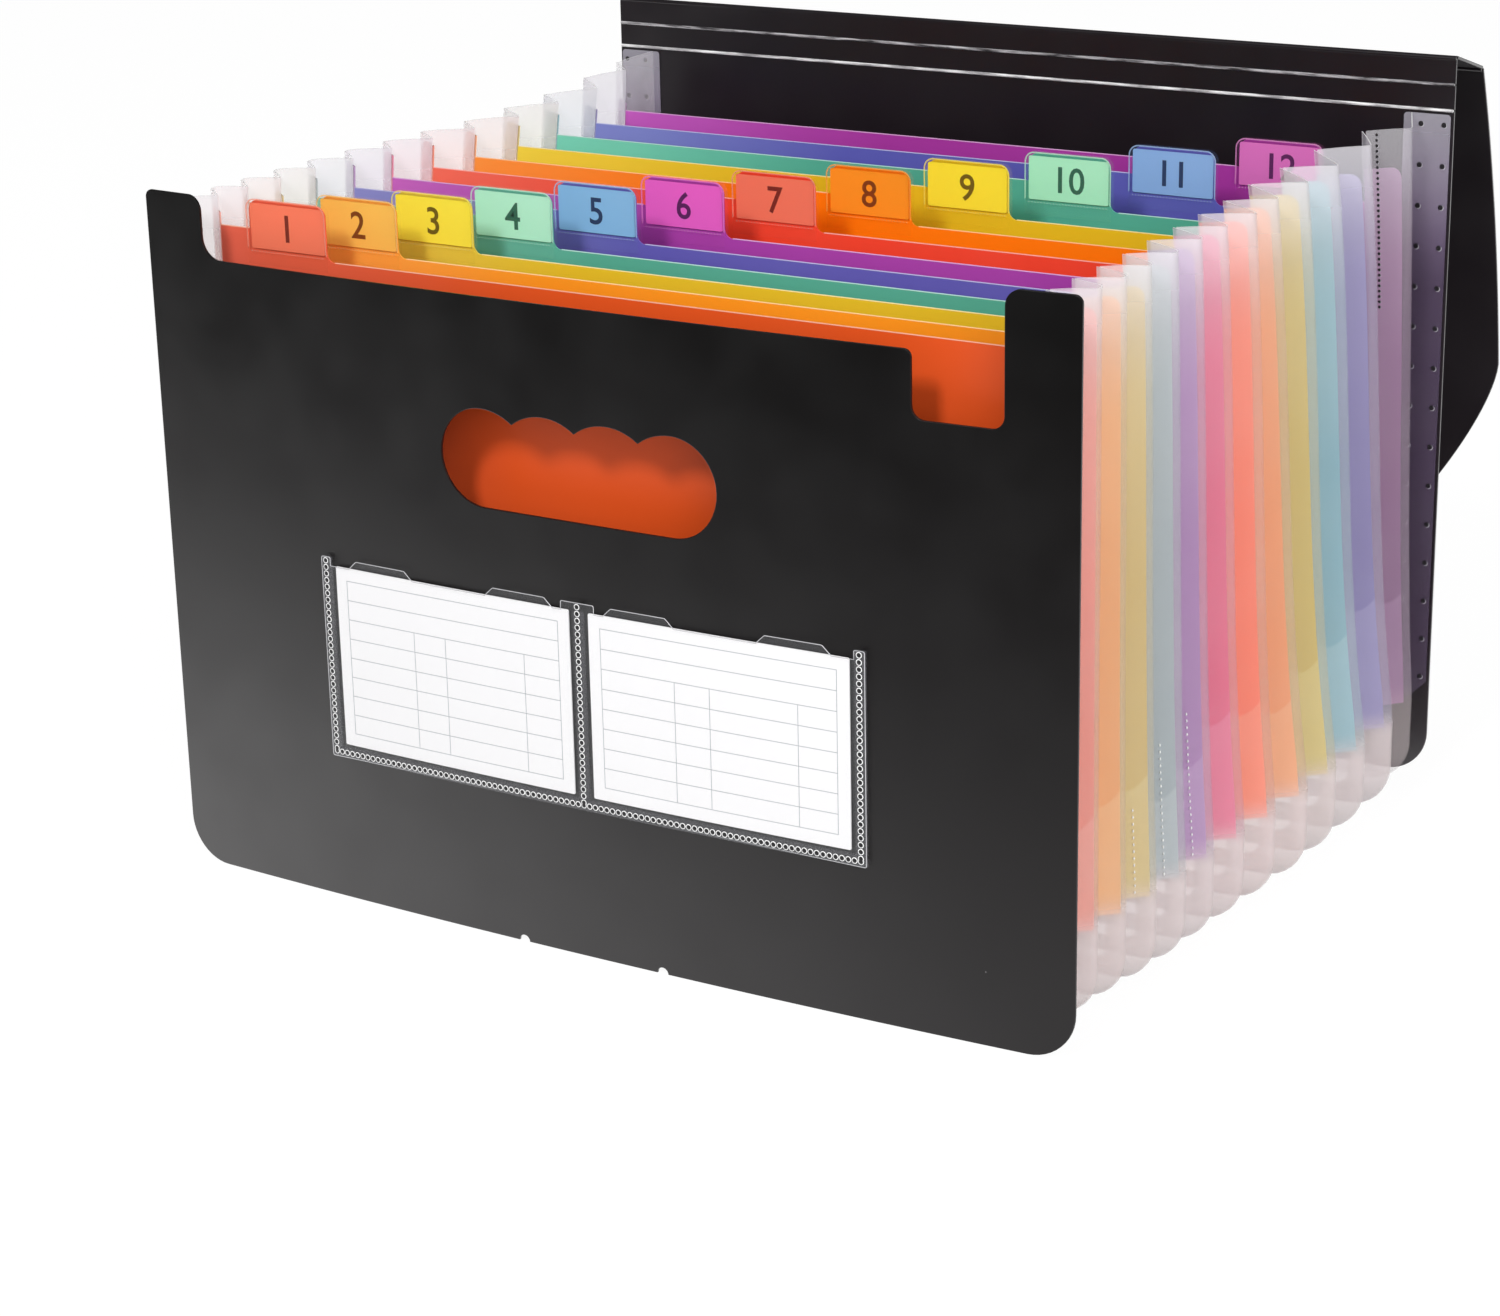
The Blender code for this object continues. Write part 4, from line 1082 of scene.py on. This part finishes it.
def makeMarginWelds(p):
    # the last divider's welds show as a row of dots down the upper part of its margin
    body = "divider_%02d" % dividerCount
    line = marginLine(dividerCount, p["lastRun"], p["lastLow"], p["lastHigh"], p["lastLift"])
    addWeldDots(body + "_margin_welds", body, [line], -1, p["lastPitch"], p["lastRadius"])

    # low on three of the right margins the welds show as fine pale dots
    for number, high in p["paleHighs"].items():
        body = "divider_%02d" % number
        line = marginLine(number, p["paleRun"], p["paleLow"], high, p["paleLift"])
        values = {"Spacing": p["palePitch"], "Dot Radii": p["paleRadii"], "Dot": weldBright}
        mesh = runTree(body + "_margin_welds", [line], dotTree, values)
        addPiece(mesh.name, mesh, body)


makeMarginWelds(marginWeldPlan)
print("weld strips made")

pocketPlan = {
    "film": 0.0003, "weld": 0.0035, "bottom": 0.0495, "cardWidth": 0.090, "sidePlay": 0.0018, "bandPlay": 0.00001,
    "tabWidth": 0.0252, "tabRise": 0.0028, "tabSlope": 0.003, "tabInset": 0.00745, "centreTab": 0.012,
    "cornerRadius": 0.0006, "notchRadius": 0.0004, "tabRadius": 0.001, "centreTabRadius": 0.0005,
    "softEdge": 0.00006, "edgeLine": 0.00013,
    "ringPitch": 0.0021, "ringRadius": 0.00086, "ringWire": 0.00015, "chainTop": 0.0012, "chainFoot": 0.0009,
    "hollowRadii": (0.00076, 0.00025, 0.00076),
}
cardPlan = {
    "cornerRadius": 0.0005, "frameInset": 0.0042, "rows": 8, "headRows": 2, "columns": (0.32, 0.47, 0.84),
    "lineWidth": 0.00022, "lineDepth": 0.00004, "lineRise": 0.00001,
}


def pocketLoop(half, top, p):
    edge = top - p["tabRise"]
    lowHalf = p["tabWidth"] / 2
    highHalf = lowHalf - p["tabSlope"]
    innerTab = p["weld"] / 2 + p["tabInset"] + lowHalf
    outerTab = half - p["weld"] - p["tabInset"] - lowHalf
    # the right half from the lower corner to the middle, and then its mirror
    right = [
        (half, p["bottom"], p["cornerRadius"]), (half, top, p["cornerRadius"]),
        (half - p["weld"], top, p["notchRadius"]), (half - p["weld"], edge, 0.0),
    ]
    for centre in (outerTab, innerTab):
        right += [
            (centre + lowHalf, edge, 0.0), (centre + highHalf, top, p["tabRadius"]),
            (centre - highHalf, top, p["tabRadius"]), (centre - lowHalf, edge, 0.0),
        ]
    right += [(p["centreTab"] / 2, edge, 0.0), (p["centreTab"] / 2, top, p["centreTabRadius"])]
    left = [(-x, z, radius) for x, z, radius in reversed(right)]
    return roundedLoop(left[-1:] + right + left[:-1], steps=3)


def makeLabelPocket(p, c):
    cell = p["cardWidth"] + 2 * p["sidePlay"]
    half = p["weld"] / 2 + cell + p["weld"]
    low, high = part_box("label_pocket")
    top = high.z
    film = clearFilm("clearPocketFilm", "#e4e6ea", alpha=0.03, roughness=0.10)
    weldFilm = clearFilm("weldedPocketFilm", "#b9b8c0", alpha=0.07, roughness=0.16)
    ringFilm = clearFilm("spotWeldRing", "#ffffff", alpha=1.0, roughness=0.12)
    edgeHighlightFilm = clearFilm("pocketCutEdgeHighlight", "#f0f0f4", alpha=0.55, roughness=0.10)
    loop = pocketLoop(half, top, p)
    filmY = low.y + p["film"] / 2
    mesh = outlineMesh("label_pocket_film", [loop], p["film"], filmY, p["softEdge"], cutsX=40)
    addPiece(mesh.name, bulgeForward(mesh), "front_cover", [film], ["label_pocket"])

    # the bands where the film is welded to the cover: left, right, low and high edge of each
    frontY, backY = low.y + p["film"] + p["bandPlay"], high.y - p["bandPlay"]
    bandFoot = p["bottom"] + p["weld"]
    inset = p["weld"] / 2
    bands = []
    for x0, x1, z0, z1 in (
        (-half, half, p["bottom"], bandFoot), (-half, p["weld"] - half, bandFoot, top),
        (half - p["weld"], half, bandFoot, top), (-inset, inset, bandFoot, top - p["tabRise"]),
    ):
        corners = [(x0, z0), (x1, z0), (x1, z1), (x0, z1)]
        bands.append(bulgeForward(outlineMesh("band", [corners], backY - frontY, (backY + frontY) / 2, cutsX=8)))
    mesh = joinedMesh("label_pocket_welds", bands)
    addPiece(mesh.name, mesh, "front_cover", [weldFilm], ["label_pocket"])

    # spot welds run in a chain down each upright band and along the bottom
    heights = (top - p["chainTop"], p["bottom"] + inset + p["chainFoot"])
    chains = [[(x, low.y, z) for z in heights] for x in (inset - half, 0.0, half - inset)]
    chainHalf = half - inset
    chains.append([(-chainHalf + 2 * chainHalf * step / 40, low.y, p["bottom"] + inset) for step in range(41)])
    ringValues = {"Ring Radius": p["ringRadius"], "Wire Radius": p["ringWire"], "Flatness": 0.5, "Ring": ringFilm}
    hollowValues = {"Dot Radii": p["hollowRadii"], "Dot": weldDark}
    for part, tree, values in (("rings", ringTree, ringValues), ("hollows", dotTree, hollowValues)):
        mesh = runTree("label_pocket_" + part, chains, tree, {"Spacing": p["ringPitch"], **values})
        addPiece(mesh.name, bulgeForward(mesh), "front_cover")

    # a fine bright line where the film is cut: a painted highlight along the cut edge
    closed = [(x, filmY, z) for x, z in loop + loop[:1]]
    mesh = runTree("label_pocket_edge", [closed], beadTree, {"Radius": p["edgeLine"], "Sides": 6, "Bead": edgeHighlightFilm})
    addPiece(mesh.name, bulgeForward(mesh), "front_cover", smoothAngle=60)

    paper = paperStock("whiteCardPaper", "#fcfbfc")
    ink = printedInk("ruledLineInk", "#a9acb2")
    for side in ("left", "right"):
        node = "label_card_" + side
        cardLow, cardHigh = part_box(node)
        radius = c["cornerRadius"]
        loop = roundedLoop([
            (cardLow.x, cardLow.z, radius), (cardHigh.x, cardLow.z, radius),
            (cardHigh.x, cardHigh.z, radius), (cardLow.x, cardHigh.z, radius),
        ], steps=3)
        mesh = outlineMesh(node + "_paper", [loop], cardHigh.y - cardLow.y, (cardLow.y + cardHigh.y) / 2, cutsX=16)
        addPiece(mesh.name, bulgeForward(mesh), node, [paper], [node])

        # a plain ruled table: rows, two sides, and columns below the heading
        x0, x1 = cardLow.x + c["frameInset"], cardHigh.x - c["frameInset"]
        z0, z1 = cardLow.z + c["frameInset"], cardHigh.z - c["frameInset"]
        thin = c["lineWidth"] / 2
        lines = []
        rowHeight = (z1 - z0) / c["rows"]
        for row in range(c["rows"] + 1):
            z = z0 + rowHeight * row
            lines.append((x0 - thin, x1 + thin, z - thin, z + thin))
        lines += [(x0 - thin, x0 + thin, z0, z1), (x1 - thin, x1 + thin, z0, z1)]
        for share in c["columns"]:
            x = x0 + (x1 - x0) * share
            lines.append((x - thin, x + thin, z0, z1 - rowHeight * c["headRows"]))
        bars = []
        for a, b, d, e in lines:
            corners = [(a, d), (b, d), (b, e), (a, e)]
            bars.append(bulgeForward(outlineMesh("bar", [corners], c["lineDepth"], cardLow.y - c["lineRise"], cutsX=8)))
        mesh = joinedMesh(node + "_table", bars)
        addPiece(mesh.name, mesh, node, [ink])


makeLabelPocket(pocketPlan, cardPlan)
print("label pocket and cards made")

cameraPlan = {
    "eye": (0.57871, -1.09566, 0.43916), "forward": (-0.5057, 0.8001, -0.3227), "right": (0.8487, 0.5284, -0.0200),
    "focalPixels": 3502.07, "imageWidth": 1500, "sensor": 36.0,
}
lightPlan = {
    "ambient": 0.38, "gloss": 0.11, "target": (0.0, -0.13, 0.1),
    # each lamp: power in watts, turn from the front in degrees, height in degrees, distance and width in metres
    "lamps": {"frontKey": (27.0, 2, 40, 2.6, 0.45), "sideFill": (28.0, 55, 25, 2.2, 1.6)},
    "floorRadius": 6.0, "floorColour": 0.65, "floorShadow": 0.14, "floorWhite": 1.1,
    "floorGlossNear": 1.45, "floorGlossFar": 0.03, "floorReach": 0.46,
    "glossLeft": 1.65, "glossRight": 0.55, "glossHalf": 0.16, "glossSlant": 0.6,
}


def makeCamera(p):
    data = bpy.data.cameras.new("photoCamera")
    data.sensor_width = p["sensor"]
    data.lens = p["focalPixels"] / p["imageWidth"] * p["sensor"]
    data.clip_start = 0.01
    camera = bpy.data.objects.new("photoCamera", data)
    studio.objects.link(camera)
    forward = Vector(p["forward"]).normalized()
    right = Vector(p["right"]).normalized()
    up = right.cross(forward).normalized()
    right = forward.cross(up).normalized()
    turn = Matrix((right, up, -forward)).transposed()
    camera.matrix_world = Matrix.Translation(p["eye"]) @ turn.to_4x4()
    bpy.context.scene.camera = camera


def makeStudio(p):
    world = bpy.data.worlds.new("whiteStudio")
    bpy.context.scene.world = world
    world.use_nodes = True
    tree = world.node_tree
    tree.nodes.clear()
    path = addNode(tree, "ShaderNodeLightPath").outputs
    links = {0: path["Is Camera Ray"], 1: path["Is Transmission Ray"]}
    seen = addNode(tree, "ShaderNodeMath", links, operation="MAXIMUM").outputs[0]
    links = {0: path["Is Glossy Ray"], 2: p["ambient"], 3: p["gloss"]}
    notGloss = addNode(tree, "ShaderNodeMix", links, data_type="FLOAT").outputs[0]
    strength = addNode(tree, "ShaderNodeMix", {0: seen, 2: notGloss, 3: 1.0}, data_type="FLOAT").outputs[0]
    background = addNode(tree, "ShaderNodeBackground", {"Color": (1, 1, 1, 1), "Strength": strength})
    addNode(tree, "ShaderNodeOutputWorld", {"Surface": background.outputs[0]})

    floorMaterial = bpy.data.materials.new("paleFloor")
    floorMaterial.use_nodes = True
    tree = floorMaterial.node_tree
    tree.nodes.clear()
    path = addNode(tree, "ShaderNodeLightPath").outputs
    point = addNode(tree, "ShaderNodeTexCoord").outputs["Object"]
    axes = addNode(tree, "ShaderNodeSeparateXYZ", {0: point}).outputs
    diffuse = addNode(tree, "ShaderNodeBsdfDiffuse", {"Color": (p["floorColour"],) * 3 + (1,)}).outputs[0]
    white = addNode(tree, "ShaderNodeEmission", {"Color": (1, 1, 1, 1), "Strength": p["floorWhite"]}).outputs[0]
    links = {0: path["Is Camera Ray"], 1: path["Is Transmission Ray"]}
    seen = addNode(tree, "ShaderNodeMath", links, operation="MAXIMUM").outputs[0]
    share = addNode(tree, "ShaderNodeMath", {0: seen, 1: 1.0 - p["floorShadow"]}, operation="MULTIPLY").outputs[0]
    lit = addNode(tree, "ShaderNodeMixShader", {0: share, 1: diffuse, 2: white}).outputs[0]
    # gloss sees a floor that is bright beside the folder, falls off in front of it and is brighter to the left
    away = addNode(tree, "ShaderNodeMath", {0: panelY[0], 1: axes["Y"]}, operation="SUBTRACT").outputs[0]
    fade = addNode(tree, "ShaderNodeMapRange", {
        "Value": away, "From Min": 0.0, "From Max": p["floorReach"],
        "To Min": p["floorGlossNear"], "To Max": p["floorGlossFar"],
    }, interpolation_type="SMOOTHSTEP").outputs[0]
    links = {0: away, 1: p["glossSlant"], 2: axes["X"]}
    along = addNode(tree, "ShaderNodeMath", links, operation="MULTIPLY_ADD").outputs[0]
    sideways = addNode(tree, "ShaderNodeMapRange", {
        "Value": along, "From Min": -p["glossHalf"], "From Max": p["glossHalf"],
        "To Min": p["glossLeft"], "To Max": p["glossRight"],
    }).outputs[0]
    strength = addNode(tree, "ShaderNodeMath", {0: fade, 1: sideways}, operation="MULTIPLY").outputs[0]
    glow = addNode(tree, "ShaderNodeEmission", {"Color": (1, 1, 1, 1), "Strength": strength}).outputs[0]
    whole = addNode(tree, "ShaderNodeMixShader", {0: path["Is Glossy Ray"], 1: lit, 2: glow}).outputs[0]
    addNode(tree, "ShaderNodeOutputMaterial", {"Surface": whole})
    shape = bmesh.new()
    bmesh.ops.create_circle(shape, cap_ends=True, segments=96, radius=p["floorRadius"])
    floorMesh = meshFromShape("paleFloor", shape)
    floorMesh.materials.append(floorMaterial)
    floor = bpy.data.objects.new("paleFloor", floorMesh)
    studio.objects.link(floor)

    for name, (power, turn, rise, distance, width) in p["lamps"].items():
        light = bpy.data.lights.new(name, "AREA")
        light.energy = power
        light.size = width
        lamp = bpy.data.objects.new(name, light)
        studio.objects.link(lamp)
        turn, rise = math.radians(turn), math.radians(rise)
        away = Vector((math.sin(turn) * math.cos(rise), -math.cos(turn) * math.cos(rise), math.sin(rise)))
        aimed = away.to_track_quat("Z", "Y").to_matrix().to_4x4()
        lamp.matrix_world = Matrix.Translation(Vector(p["target"]) + away * distance) @ aimed

    bpy.context.scene.view_settings.view_transform = "Standard"
    bpy.context.scene.cycles.transparent_max_bounces = 96


makeCamera(cameraPlan)
makeStudio(lightPlan)
print("studio and camera made")
